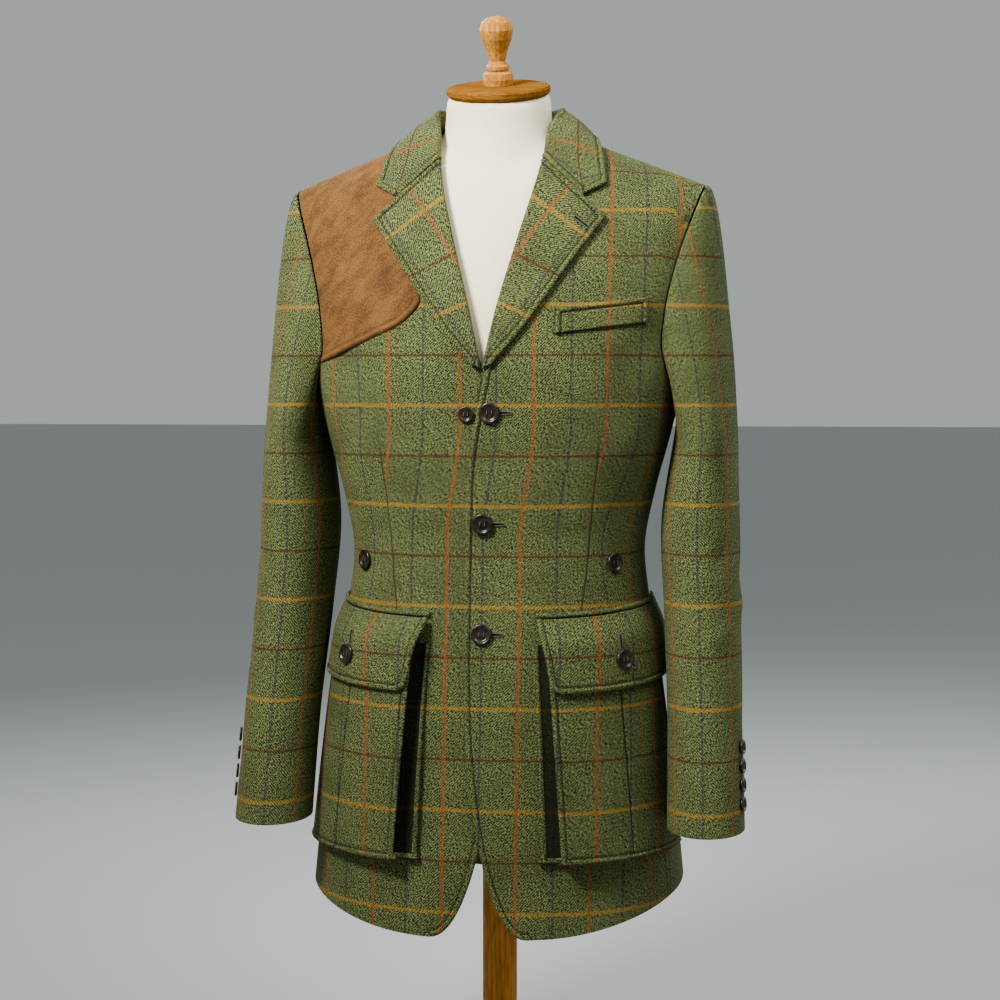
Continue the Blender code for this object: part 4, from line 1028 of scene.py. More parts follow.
def hole_shade_paint(looks):
    """Painted shade: the dark inside of a buttonhole's slit and of a button's holes, mottled from the seam
    shade to dark horn.
    """
    paint = Paint("hole")
    spot = paint.room()
    dust_and_shade = paint.noise(spot, 800.0, 2.0)
    colour = paint.blend(dust_and_shade, opaque(looks.shadow_green), opaque(looks.dark_horn))
    return paint.finish(colour, 0.9 + dust_and_shade * 0.05, paint.bump(dust_and_shade, 0.0002, 0.3), {"Specular IOR Level": 0.1})


def front_lattice():
    """(x, z) of a front, finely: hem to chest, then chest to shoulder, by centre edge to outer edge."""
    corner = FRONT_HEM_Z + EDGE_CURVE_HEIGHT
    bend = FRONT_HEM_Z + EDGE_CURVE_HEIGHT * (1 - np.cos(np.linspace(0.0, pi / 2, 80)[:-1]))
    straight = np.linspace(corner, LAPEL[0].roll_z, 64)
    rise = np.sin(np.linspace(0.0, pi / 2, 66))[1:]
    inner_z = np.concatenate([bend, straight, mix(LAPEL[0].roll_z, NECK_Z, rise)])
    split = CHEST_Z - ROW_TURN
    above = (inner_z - split) / (NECK_Z - split)
    level_z = np.where(inner_z < split, inner_z, mix(split, SHOULDER_Z, above))
    below = np.clip((corner - inner_z) / EDGE_CURVE_HEIGHT, 0.0, 1.0)
    inner_x = column(FRONT_EDGE, "x", inner_z) + EDGE_CURVE_WIDTH * (1 - np.sqrt(1 - below**2))
    seam_angle = np.radians(column(SEAMS, "front_angle", level_z))
    fade = 1 - ease(level_z, FRONT_HEM_Z, FRONT_HEM_Z + HEM_FADE)
    lift = (hem_z(seam_angle) - FRONT_HEM_Z) * fade
    outer_z = level_z + lift
    seam_x = across_at(seam_angle, outer_z)
    outer_x = np.where(outer_z < FRONT_SEAM_TOP_Z, seam_x, column(ARMHOLE, "front_x", outer_z))
    u = spread(*FRONT_COLUMNS)[None, :]
    x = mix(inner_x[:, None], outer_x[:, None], u)
    z = mix(inner_z[:, None], level_z[:, None], u) + lift[:, None] * u**2
    return x, z


def front_dart(side):
    """The waist dart of one front."""
    shift = UNDER_DART_SHIFT if side < 0 else 0.0
    return FRONT_DART._replace(x0=FRONT_DART.x0 - shift, x1=FRONT_DART.x1 - shift)


def dart_take(z):
    """How much of the check the dart swallows at a height."""
    foot = ease(z - FRONT_DART.z1, *DART_FOOT)
    head = ease(z - FRONT_DART.z0, *DART_HEAD)
    return DART_TAKE * foot * (1 - head)


def front_lean(z):
    """How far the check leans with the front edge at a height."""
    return FRONT_LEAN * ease(z, FRONT_LEAN_LOW_Z, FRONT_LEAN_HIGH_Z)


def front_place(x, z, side):
    """Where a point of the front lies on the check, which leans with the edge and closes over the dart."""
    around = np.sign(x) * girth(angle_of(x, z, FRONT_SQUARENESS), z)
    dart = front_dart(side)
    dart_x = mix(dart.x1, dart.x0, (z - dart.z1) / (dart.z0 - dart.z1))
    past_dart = ease(x, dart_x - SEAM_ROUND, dart_x + SEAM_ROUND)
    return around - side * front_lean(z) + dart_take(z) * past_dart, climb(front_y, x, z)


def level_normals(points):
    """Normals of a shoulder seam's row: square to the seam and to the depth."""
    along = np.gradient(points, axis=0)
    upward = unit(np.cross(along, np.array([0.0, -1.0, 0.0])))
    return upward * np.sign(upward[:, 2:3])


def lap_drop(x, z):
    """How far the under front lies below the upper one near centre front."""
    return LAP_DROP * (1 - ease(x, LAP_INNER_X, LAP_OUTER_X)) * (1 - ease(z, LAP_TOP_Z, LAP_TOP_Z + LAP_FADE))


def make_fronts():
    x, z = front_lattice()
    for side, word in SIDES:
        if side < 0:
            reach = UNDER_REACH * np.exp(-(((z - UNDER_REACH_Z) / UNDER_REACH_SPAN) ** 2))
            x = x - reach * (1 - ease(x - x[:, :1], 0.0, UNDER_REACH_FADE))
        points, normals = on_front(x, z)
        points[-1, :, 1] = -SEAM_GAP / 2
        normals[-1] = level_normals(points[-1])
        out = crease_height(x, z, FRONT_CREASES)
        if side < 0:
            out = out - lap_drop(x, z)
        points = points + normals * out[..., None]
        # The dart's line is painted with shade.
        darts = line_distance(x, z, front_dart(side))
        cloth_shell(f"front_{word}", points, normals, front_place(x, z, side), side, ("start",), darts)


def back_lattice():
    """(x, z) of half the back, finely, and the distance of its outer edge."""
    share = np.linspace(0.0, 1.0, 116)
    outer_z = mix(BACK_HEM_Z, BACK_SEAM_TOP_Z, share)
    for _ in range(SEAM_PASSES):
        outer_z = mix(hem_z(np.radians(column(SEAMS, "back_angle", outer_z))), BACK_SEAM_TOP_Z, share)
    rise = np.sin(np.linspace(0.0, pi / 2, 66))[1:]
    middle = np.concatenate([mix(BACK_HEM_Z, BACK_CHEST_Z, share), np.full_like(rise, BACK_CHEST_Z)])
    outer_z = np.concatenate([outer_z, mix(BACK_SEAM_TOP_Z, SHOULDER_Z, rise)])
    rise = np.concatenate([np.zeros_like(share), rise])
    lap = np.radians(VENT_LAP_ANGLE) * ease(-outer_z, -VENT_TOP_Z, -VENT_TOP_Z + VENT_FADE)
    turn = SEAM_GAP / column(TRUNK, "half_width", outer_z)
    seam_x = across_at(np.radians(column(SEAMS, "back_angle", outer_z)) + turn - lap, outer_z)
    outer_x = np.where(rise > 0, column(ARMHOLE, "back_x", outer_z), seam_x)
    u = spread(*BACK_COLUMNS)[None, :]
    x = mix(SEAM_GAP, outer_x[:, None], u)
    below = mix(middle[:, None], np.minimum(outer_z, BACK_SEAM_TOP_Z)[:, None], u**2)
    top_z = np.where(x[-1] < NECK_X, mix(BACK_NECK_Z, NECK_Z, (x[-1] / NECK_X) ** 2), shoulder_z(x[-1]))
    return x, mix(below, top_z[None, :], rise[:, None]), outer_x


def make_backs():
    x, z, outer_x = back_lattice()
    points, normals = on_back(x, z)
    seam = x[-1] >= NECK_X
    points[-1, seam, 1] = SEAM_GAP / 2
    normals[-1] = np.where(seam[:, None], level_normals(points[-1]), normals[-1])
    normals[:, 0, 0] = 0.0
    edge = ease(x, outer_x[:, None] - VENT_EDGE_WIDTH, outer_x[:, None] - VENT_EDGE_WIDTH / 2)
    lift = VENT_LIFT * ease(-z, -VENT_TOP_Z - VENT_FADE, -VENT_TOP_Z) * edge
    waist = np.exp(-(((z - BACK_WAIST_Z) / BACK_WAIST_SPAN) ** 2))
    warp = margins(points)["start"] * mix(BACK_WARP, BACK_WAIST_WARP, waist)
    taken = 1 - ease(z, BACK_WAIST_Z, BACK_TAKE_TOP_Z)
    weft = climb(back_y, np.minimum(x, BACK_CLIMB_X), z)
    for side, word in SIDES:
        across = warp + BACK_SEAM_TAKE + taken * (BACK_TAKE if side < 0 else 0.0)
        creases = BACK_CREASES if side > 0 else BACK_CREASES[1:]
        out = lift + crease_height(x, z, creases) * (1 - edge)
        moved = points + normals * out[..., None]
        cloth_shell(f"back_{word}", moved, normals, (across, weft), side)


def underarm_z(angle):
    """Top of the side panel, the floor of the armhole."""
    front = np.radians(SEAMS[-1].front_angle)
    back = np.radians(SEAMS[-1].back_angle)
    rise_front = (FRONT_SEAM_TOP_Z - CHEST_Z) * ((pi / 2 - angle) / (pi / 2 - front)) ** 2
    rise_back = (BACK_SEAM_TOP_Z - CHEST_Z) * ((angle - pi / 2) / (back - pi / 2)) ** 2
    return CHEST_Z + np.where(angle <= pi / 2, rise_front, rise_back)


def make_sides():
    share = spread(*SIDE_ROWS)[:, None]
    u = spread(*SIDE_COLUMNS)[None, :]
    z = mix(FRONT_HEM_Z, CHEST_Z, share) + 0 * u
    for _ in range(SEAM_PASSES):
        turn = SEAM_GAP / column(TRUNK, "half_width", z)
        first = np.radians(column(SEAMS, "front_angle", z)) + turn
        angle = mix(first, np.radians(column(SEAMS, "back_angle", z)), u)
        z = mix(hem_z(angle), underarm_z(angle[-1:]), share)
    points, normals = round_trunk(angle, z)
    for side, word in SIDES:
        around = girth(angle, z) - side * front_lean(z) + dart_take(z)
        cloth_shell(f"side_{word}", points, normals, (around, z), side)


def lapel_point(along, across, out):
    """Points of the front under a lapel, moved out, with the normals and the direction across."""
    roll_z = column(LAPEL, "roll_z", along, "along")
    roll_x = column(FRONT_EDGE, "x", roll_z)
    over_x = column(LAPEL, "edge_x", along, "along") - roll_x
    over_z = column(LAPEL, "edge_z", along, "along") - roll_z
    x = roll_x + over_x * across
    z = roll_z + over_z * across
    points, normals = on_front(x, z, out)
    ahead = on_front(x + over_x * 0.01, z + over_z * 0.01)[0]
    return points, normals, unit(ahead - on_front(x, z)[0])


def lattice_normals(points, outward):
    """Normals of a lattice, on the side that a direction points to at its middle."""
    normals = np.cross(np.gradient(points, axis=1), np.gradient(points, axis=0))
    normals = normals / np.maximum(np.linalg.norm(normals, axis=-1, keepdims=True), 1e-12)
    middle = normals[points.shape[0] // 2, points.shape[1] // 2]
    return normals if np.dot(middle, outward) > 0 else -normals


def make_lapels():
    along = spread(*LAPEL_ROWS)[:, None]
    rows = len(along)
    base, base_normals, over = lapel_point(along, np.zeros((rows, 1)), 0.0)
    turn = -np.linspace(pi / 2, 3 * pi / 2, FOLD_STEPS)[None, :, None]
    centre = base + base_normals * (ROLL_RADIUS - CLOTH / 2)
    spoke = np.cos(turn) * over + np.sin(turn) * base_normals
    roll = centre + spoke * (ROLL_RADIUS + CLOTH / 2) + np.array([-SEAM_GAP, 0.0, 0.0])
    across = spread(*LAPEL_COLUMNS)[None, 1:]
    under = mix(2 * ROLL_RADIUS - CLOTH, LEAF_REST, ease(across, 0.0, 0.5)) + 0 * along
    leaf, leaf_normals, _ = lapel_point(along, across + 0 * along, under + CLOTH)
    points = np.concatenate([roll, leaf], axis=1)
    normals = np.concatenate([np.broadcast_to(spoke, roll.shape), leaf_normals], axis=1)
    rim = margins(points)
    places = (LAPEL_WARP - rim["end"], LAPEL_WEFT - rim["high"][:, -1:] + 0 * rim["end"])
    cloth_pair("lapel", points, normals, places, ("end", "high"))


def shoulder_surface_z(x, y):
    """Height of the shoulders over a point of the plan."""
    front = trunk_depth(x, CHEST_Z, *FRONT_FACE)
    back = trunk_depth(x, CHEST_Z, *BACK_FACE)
    depth, roundness = (front, FRONT_SHOULDER_ROUND) if y < 0 else (back, BACK_SHOULDER_ROUND)
    closing = (1 - np.clip(abs(y) / depth, 0, 1) ** roundness) ** (1 / roundness)
    return CHEST_Z + closing * (shoulder_z(x) - CHEST_Z)


def fold_path(seam, stand, apex, over, edge, falls):
    """A section through stand and fold to the start of the fall, then to the edge."""
    radius = ROLL_RADIUS + CLOTH / 2
    rim = seam + apex * (stand - radius)
    centre = rim + over * radius
    path = [mix(seam, rim, share) for share in COLLAR_STAND_SHARES]
    for turn in np.linspace(pi, 0.0, FOLD_STEPS):
        path.append(centre + radius * (cos(turn) * over + sin(turn) * apex))
    start = path[-1]
    fall = unit(edge - start)
    lift = apex + over
    lift = unit(lift - fall * np.dot(lift, fall))
    for share in falls:
        path.append(mix(start, edge, share) + lift * COLLAR_BULGE * 4 * share * (1 - share))
    return np.array(path)


def gorge_frame():
    """Point, normal and direction across of the roll line at the gorge."""
    point, normal, over = lapel_point(np.array([1.0]), np.array([0.0]), 0.0)
    return point[0], normal[0], over[0]


def collar_section(along, falls):
    """One section of the collar behind the gorge."""
    row = {name: float(column(COLLAR, name, along, "along")) for name in CollarRow._fields}
    seam = np.array([row["seam_x"], row["seam_y"], row["seam_z"]])
    rest = (LEAF_REST + CLOTH) * (1 + row["lean"])
    edge_z = shoulder_surface_z(row["edge_x"], row["edge_y"]) + rest
    edge = np.array([row["edge_x"], row["edge_y"], edge_z])
    _, normal, over = gorge_frame()
    outward = unit((edge - seam) * np.array([1.0, 1.0, 0.0]))
    apex = unit(mix(np.array([0.0, 0.0, 1.0]), -over, row["lean"]))
    across = mix(outward, normal, row["lean"])
    across = unit(across - apex * np.dot(across, apex))
    return fold_path(seam, row["stand"], apex, across, edge, falls)


def gorge_section(falls):
    """The collar's end: along the gorge seam to the notch, then up to the collar point."""
    point, normal, over = gorge_frame()
    upward = unit(np.cross(normal, over))
    upward = upward * np.sign(upward[2])
    radius = ROLL_RADIUS + CLOTH / 2
    seam = point - normal * CLOTH - over * 2 * SEAM_GAP
    path = list(fold_path(seam, radius + SEAM_GAP, -over, normal, point, ()))
    roll_x = float(column(FRONT_EDGE, "x", LAPEL[-1].roll_z))
    for share in falls:
        to_notch = min(share / NOTCH_SHARE, 1.0)
        to_point = max((share - NOTCH_SHARE) / (1 - NOTCH_SHARE), 0.0)
        x = mix(mix(roll_x, NOTCH_X, to_notch), COLLAR_POINT_X, to_point)
        z = mix(mix(LAPEL[-1].roll_z, NOTCH_Z, to_notch), COLLAR_POINT_Z, to_point)
        path.append(on_front(np.array([x]), np.array([z]), LEAF_REST + CLOTH)[0][0])
    return np.array(path) + upward * GORGE_GAP


def make_collar():
    falls = np.unique(np.append(spread(*COLLAR_COLUMNS)[1:], NOTCH_SHARE))
    last = COLLAR[-1].along
    behind = collar_section(last, falls)
    gorge = gorge_section(falls)
    sections = []
    for along in spread(*COLLAR_ROWS):
        if along <= last:
            sections.append(collar_section(along, falls))
        else:
            sections.append(mix(behind, gorge, (along - last) / (1 - last)))
    left = np.array(sections)
    points = np.concatenate([mirrored(left[:0:-1], -1), left])
    rows, columns = points.shape[:2]
    normals = lattice_normals(points, np.array([0.0, 1.0, 1.0]))
    rim = margins(points)
    middle = columns - len(falls) // 2
    along = rim["low"][:, middle] - rim["low"][rows // 2, middle]
    places = (along[:, None] + 0 * rim["end"], COLLAR_WEFT - rim["end"])
    cloth_shell("collar", points, normals, places, 1, ("end", "low", "high"),
                rests_on=("back_left", "back_right"))


def armhole_loop():
    """The armhole seam as two runs from the shoulder to the underarm, over the front and over the back."""
    front_z = np.linspace(SHOULDER_Z, FRONT_SEAM_TOP_Z, 40)
    front = on_front(column(ARMHOLE, "front_x", front_z), front_z)[0]
    back_z = np.linspace(SHOULDER_Z, BACK_SEAM_TOP_Z, 40)
    back = on_back(column(ARMHOLE, "back_x", back_z), back_z)[0]
    front_floor = np.linspace(np.radians(SEAMS[-1].front_angle), pi / 2, 12)
    back_floor = np.linspace(np.radians(SEAMS[-1].back_angle), pi / 2, 12)
    front = np.concatenate([front, trunk_point(front_floor, underarm_z(front_floor))[1:]])
    back = np.concatenate([back, trunk_point(back_floor, underarm_z(back_floor))[1:]])
    return front, back


def sleeve_ring(turn, z):
    """Points of the sleeve below the underarm at turns from its outer side towards the front."""
    row = {name: column(SLEEVE, name, z) for name in SleeveRow._fields}
    x = row["centre_x"] + row["half_width"] * np.cos(turn)
    y = row["centre_y"] - row["half_depth"] * np.sin(turn)
    return stack(x, y, z + 0 * turn)


def half_turns(turn):
    """The same turns, between half a turn back and half a turn on."""
    return (turn + pi) % (2 * pi) - pi


def sleeve_lattice(turn):
    """Points of a sleeve at the given turns, from the armhole to the cuff."""
    turn = half_turns(turn)
    front, back = armhole_loop()
    share = np.abs(turn) / pi
    loop = np.where((turn >= 0)[:, None], along_run(front, share), along_run(back, share))
    loop = loop + np.array([ARMHOLE_GAP, 0.0, 0.0])
    first = sleeve_ring(turn, np.full_like(turn, CAP_END_Z))
    swell = mix(CAP_SWELL, 1.0, share)
    rows = []
    for step in np.linspace(0.0, 1.0, CAP_ROWS) ** CAP_CROWDING:
        row = mix(loop, first, (step**swell)[:, None])
        row[:, 2] = mix(loop[:, 2], CAP_END_Z, step)
        rows.append(row)
    lower = CAP_END_Z + (SLEEVE[0].z - CAP_END_Z) * spread(*SLEEVE_ROWS)[1:]
    for z in lower:
        rows.append(sleeve_ring(turn, np.full_like(turn, z)))
    return np.array(rows)


def sleeve_place(points, piece):
    """Where a point of a sleeve lies on the check, whose lines run along the arm."""
    x, y, z = points[..., 0], points[..., 1], points[..., 2]
    rise = ease(z, CAP_END_Z, SHOULDER_Z)
    centre_x = mix(column(SLEEVE, "centre_x", z), SLEEVE_HEAD_X, rise)
    half_depth = mix(column(SLEEVE, "half_depth", z), SLEEVE_HEAD_DEPTH, rise)
    turn = np.arctan2((column(SLEEVE, "centre_y", z) - y) / half_depth,
                      (x - centre_x) / column(SLEEVE, "half_width", z))
    if piece == "under":
        turn = turn % (2 * pi)
    turns = np.linspace(-pi, 2 * pi, 1081)
    middle = SLEEVE[2]
    speed = np.hypot(middle.half_width * np.sin(turns), middle.half_depth * np.cos(turns))
    length = np.cumsum(speed) * (turns[1] - turns[0])
    start = np.interp(np.radians(SLEEVE_NAVY_TURN), turns, length)
    return np.interp(turn, turns, length) - start, z


def relaxed(points):
    """The lattice with its kink under the sleeve head smoothed along the sleeve."""
    share = np.exp(-(((points[..., 2:] - CAP_END_Z) / CAP_RELAX_REACH) ** 2))[1:-1] * CAP_RELAX_SHARE
    share[:2] = 0.0
    for _ in range(CAP_RELAX_PASSES):
        points[1:-1] = points[1:-1] + share * (points[:-2] / 2 + points[2:] / 2 - points[1:-1])
    return points


def make_sleeves():
    gap = SEAM_GAP / 2 / SLEEVE[0].half_depth
    cuts = (
        ("top", SLEEVE_BACK_SEAM, SLEEVE_FRONT_SEAM),
        ("under", SLEEVE_FRONT_SEAM, SLEEVE_BACK_SEAM + 360),
    )
    for piece, first, last in cuts:
        turn = mix(np.radians(first) + gap, np.radians(last) - gap, spread(*SLEEVE_COLUMNS))
        turns = (turn, turn + TURN_STEP, turn - TURN_STEP)
        points, ahead, behind = (relaxed(sleeve_lattice(one_turn)) for one_turn in turns)
        normals = unit(np.cross(np.gradient(points, axis=0), ahead - behind))
        centre = points.mean(axis=1, keepdims=True)
        if np.mean(np.sum(normals[BELOW_CAP_ROW:] * (points - centre)[BELOW_CAP_ROW:], axis=-1)) < 0:
            normals = -normals
        front, back = armhole_loop()
        inward = points[0] - (front.mean(axis=0) + back.mean(axis=0)) / 2
        inward[:, 0] = 0.0
        normals[0] = unit(inward)
        across = half_turns(turn)[None, :] * column(SLEEVE, "half_depth", points[..., 2])
        vent = CUFF_VENT_LIFT * (1 - ease(points[..., 2], CUFF_VENT_Z - CUFF_VENT_WIDTH, CUFF_VENT_Z))
        vent = vent * (1 - ease(margins(points)["start"], 0.0, CUFF_VENT_WIDTH)) * (piece == "top")
        for side, word in SIDES:
            up = points[..., 2] + SLEEVE_CREASE_SHIFT * (side < 0)
            out = crease_height(across, up, SLEEVE_CREASES) + vent
            moved = points + normals * out[..., None]
            cloth_shell(f"{piece}_sleeve_{word}", moved, normals, sleeve_place(points, piece), side,
                        rests_on=(f"front_{word}",))


def make_patch():
    corner = PATCH_CORNER_START + PATCH_CORNER_SHARE * np.linspace(0.0, 1.0, 24) ** 2
    u = np.unique(np.concatenate([spread(*PATCH_COLUMNS), corner]))[None, :]
    v = spread(*PATCH_ROWS)[:, None]
    v = np.sin(v * pi / 2) * PATCH_TOP_SHARE
    low = mix(PATCH_LOW_INNER_Z, PATCH_LOW_OUTER_Z, u)
    ahead = 1 - np.clip((u - PATCH_CORNER_START) / PATCH_CORNER_SHARE, 0.0, 1.0)
    low = low + PATCH_CORNER * (1 - np.sqrt(1 - ahead ** 2))
    high = mix(shoulder_z(PATCH_TOP_INNER_X), SHOULDER_Z, u)
    z = mix(low, high, v)
    lapel_x = smooth([row.edge_z for row in LAPEL], [row.edge_x for row in LAPEL], z)
    inner = np.minimum(lapel_x - PATCH_UNDER_LAPEL, PATCH_TOP_INNER_X)
    inner = np.maximum(inner, PATCH_LOW_INNER_X - PATCH_UNDER_LAPEL)
    outer = column(ARMHOLE, "front_x", z) - PATCH_INSET
    x = mix(inner, outer, u)
    points, normals = on_front(x, z, OVER_CLOTH + SUEDE)
    cloth_shell("shoulder_patch", points, normals, front_place(x, z, -1), -1, ("low",), thickness=SUEDE,
                paint="suede", held="laid", rests_on=("front_right",))


def make_welt():
    u = spread(*WELT_COLUMNS)[None, :]
    v = spread(*WELT_ROWS)[:, None] - 0.5
    x = mix(WELT_INNER_X, WELT_OUTER_X, u) + 0 * v
    z = mix(WELT_INNER_Z, WELT_OUTER_Z, u) + WELT_HEIGHT * v
    points, normals = on_front(x, z, OVER_CLOTH + CLOTH)
    rim = margins(points)
    # Painted shade: a dark line along the welt's ends and lower edge, where it meets the front.
    painted_contact_shade = np.minimum(np.minimum(rim["start"], rim["end"]), rim["low"])
    cloth_shell("breast_welt", points, normals, front_place(x, z, 1), 1, ("start", "end", "high"), painted_contact_shade,
                held="laid", rests_on=("front_left",))


def pocket_depth(share):
    """How far a bellows pocket stands off, from its front edge (0) to its back edge (1)."""
    ahead = (1 - np.clip(share, 0.0, 1.0)) ** POCKET_TAPER
    return mix(POCKET_BACK_DEPTH, POCKET_FRONT_DEPTH, ahead)


def make_pockets():
    face_rows = spread(*POCKET_ROWS)
    fold = np.linspace(1.0, 0.0, GUSSET_FOLD_STEPS)[1:]
    fall = np.concatenate([np.ones_like(face_rows), fold])[:, None]
    down = np.concatenate([face_rows, np.ones_like(fold)])[:, None]
    z = mix(POCKET_TOP_Z, POCKET_BOTTOM_Z, down) + GUSSET_FOLD * np.sin(pi * fall)
    root = GUSSET_FRONT_ANGLE + 0 * down
    first = POCKET_FRONT_ANGLE + POCKET_FRONT_SLANT * down
    pleat = (FLAP_BUTTON_ANGLE - POCKET_FRONT_ANGLE) / (POCKET_BACK_ANGLE - POCKET_FRONT_ANGLE)
    near_pleat = np.linspace(pleat - PLEAT_SPAN, pleat + PLEAT_SPAN, PLEAT_STEPS)
    face = np.unique(np.concatenate([spread(*POCKET_COLUMNS), near_pleat]))
    degrees = [mix(root, first, step.to_edge) + step.past_edge for step in GUSSET]
    degrees += [mix(first, POCKET_BACK_ANGLE, share) for share in face]
    degrees += [POCKET_BACK_ANGLE + 0 * down] * len(POCKET_BACK_STEPS)
    degrees = np.concatenate(degrees, axis=1)
    heights = [step.height * (POCKET_FRONT_DEPTH - OVER_CLOTH) for step in GUSSET]
    heights += list(pocket_depth(face) - OVER_CLOTH)
    heights += list((POCKET_BACK_DEPTH - OVER_CLOTH) * np.array(POCKET_BACK_STEPS))
    angle = np.radians(degrees)
    z = np.broadcast_to(z, angle.shape)
    radius = column(TRUNK, "half_width", z)
    lines = np.radians(degrees - FLAP_BUTTON_ANGLE) * radius
    groove = PLEAT_DEPTH * np.exp(-((lines / PLEAT_WIDTH) ** 2)) * (1 - PLEAT_FADE * down) * fall
    points, body_normals = round_trunk(angle, z, OVER_CLOTH + np.array(heights) * fall - groove)
    normals = lattice_normals(points, body_normals[POCKET_MIDDLE_ROW, len(heights) // 2])
    on_face = slice(len(GUSSET), len(GUSSET) + len(face))
    rim = margins(points[: len(face_rows), on_face])
    stitch = np.full(angle.shape, NO_STITCH)
    stitch[: len(face_rows), on_face] = np.minimum(np.minimum(rim["start"], rim["end"]), rim["high"])
    # Painted shade: a dark line along the pleat, and the gusset's inner columns wholly dark as the shade
    # inside the bellows.
    lines = lines * mix(PLEAT_TOP_SHARE, 1.0, down)
    lines[: len(face_rows) - GUSSET_FOOT_ROWS, GUSSET_PAINTED_SHADE] = 0.0
    cloth_pair("pocket", points, normals, (girth(angle, z), z), lines=lines, held="folded", stitch=stitch)


def flap_lattice(v, u):
    """Angle, height and stand-off of a flap's underside, from its top to its hem."""
    first = mix(FLAP_FRONT_ANGLE, FLAP_FRONT_ANGLE + FLAP_FRONT_SLANT, v)
    angle = np.radians(mix(first, FLAP_BACK_ANGLE, u))
    z = FLAP_TOP_Z + FLAP_SIDE_RISE * ease(u, 0.0, 1.0) - FLAP_HEIGHT * v
    share = (np.degrees(angle) - POCKET_FRONT_ANGLE) / (POCKET_BACK_ANGLE - POCKET_FRONT_ANGLE)
    out = mix(OVER_CLOTH, pocket_depth(share) + FLAP_STAND_OFF, ease(v, *FLAP_LEAVE))
    return angle, z, out


def make_flaps():
    u = spread(*FLAP_COLUMNS)[None, :]
    v = spread(*FLAP_ROWS)[:, None]
    side_away = np.minimum(u, 1 - u) * FLAP_COLUMNS[1]
    inward = 1 - np.clip(side_away / FLAP_CORNER, 0.0, 1.0)
    corner = FLAP_CORNER * (1 - np.sqrt(1 - inward**2)) / FLAP_HEIGHT
    angle, z, out = flap_lattice(v * (1 - corner), u + 0 * v)
    points, normals = round_trunk(angle, z, out + CLOTH)
    normals = lattice_normals(points, normals[FLAP_MIDDLE])
    cloth_pair("flap", points, normals, (girth(angle, z), z), ("start", "end", "high"))
    strip = spread(*PIPING_ROWS)[:, None]
    turn = np.linspace(0.0, pi, PIPING_STEPS)[None, :]
    angle, z, _ = flap_lattice(0 * strip, strip)
    angle = angle + 0 * turn
    z = z + PIPING_RADIUS + SEAM_GAP - PIPING_RADIUS * np.cos(turn)
    points, _ = round_trunk(angle, z, OVER_CLOTH + CLOTH / 2 + PIPING_RADIUS * np.sin(turn))
    _, normals = round_trunk(angle, z)
    places = (girth(angle, z), z - PIPING_CUT)
    cloth_pair("piping", points, normals, places, held="folded", thickness=CLOTH / 2)


def tube_faces(rings, sides, closed=False):
    """Faces through rings of points, capped at both ends or closed round."""
    last = (rings - 1) * sides
    faces = [] if closed else [list(range(sides))[::-1], list(range(last, last + sides))]
    for ring in range(rings if closed else rings - 1):
        low = ring * sides
        high = (ring + 1) % rings * sides
        for k in range(sides):
            after = (k + 1) % sides
            faces.append([low + k, low + after, high + after, high + k])
    return faces


def lathe(profile, place, axis, sides):
    """Points and faces of a turned solid along an axis from a place."""
    turns = np.arange(sides) * 2 * pi / sides
    rings = np.array([[(r * cos(t), r * sin(t), h) for t in turns] for h, r in profile])
    turn = np.array(Vector((0, 0, 1)).rotation_difference(Vector(axis)).to_matrix())
    points = rings.reshape(-1, 3) @ turn.T + np.asarray(place)
    return points, tube_faces(len(profile), sides)


def one(points_and_normals):
    points, normals = points_and_normals
    return points.reshape(-1, 3)[0], normals.reshape(-1, 3)[0]


def button_spots():
    """Every button: its solid, its place, its direction, its size and its height over the cloth."""
    spots = []
    for number, row in enumerate(FRONT_BUTTONS, 1):
        point, normal = one(on_front(np.array([row.x]), np.array([row.z])))
        spots.append(Spot(f"front_button_{number}", point, normal, FRONT_BUTTON_RADIUS, row.lift))
    x = np.array([INNER_BUTTON_X])
    z = np.array([INNER_BUTTON_Z])
    point, normal = one(on_front(x, z, -lap_drop(x, z)))
    flip = np.array([-1.0, 1.0, 1.0])
    spots.append(Spot("inner_button", point * flip, normal * flip, INNER_BUTTON_RADIUS, BUTTON_LIFT))
    for side, word in SIDES:
        flip = np.array([side, 1.0, 1.0])
        z = np.array([WAIST_BUTTON_Z])
        places = []
        for end, angle, lift in (("front", WAIST_FRONT_ANGLE, WAIST_FRONT_LIFT),
                                 ("back", WAIST_BACK_ANGLE, WAIST_BACK_LIFT)):
            spot = round_trunk(np.radians([angle]), z)
            places.append((f"waist_button_{end}_{word}", spot, SIDE_BUTTON_RADIUS, lift))
        angle, z, out = flap_lattice(np.array([FLAP_BUTTON_SHARE]), np.array([FLAP_BUTTON_ALONG]))
        places.append((f"flap_button_{word}", round_trunk(angle, z, out + CLOTH), SIDE_BUTTON_RADIUS,
                       FLAP_BUTTON_LIFT))
        for number in range(CUFF_BUTTONS):
            z = np.array([CUFF_BUTTON_TOP_Z - number * CUFF_BUTTON_STEP])
            turn = np.radians([CUFF_BUTTON_TURN])
            around = sleeve_ring(turn + TURN_STEP, z) - sleeve_ring(turn - TURN_STEP, z)
            up = sleeve_ring(turn, z + RISE_STEP) - sleeve_ring(turn, z - RISE_STEP)
            normal = unit(np.cross(up, around))
            spot = (sleeve_ring(turn, z), normal * np.sign(normal[:, :1]))
            places.append((f"cuff_button_{word}_{number + 1}", spot, CUFF_BUTTON_RADIUS, BUTTON_LIFT))
        for node, spot, radius, lift in places:
            point, normal = one(spot)
            spots.append(Spot(node, point * flip, normal * flip, radius, lift))
    return spots


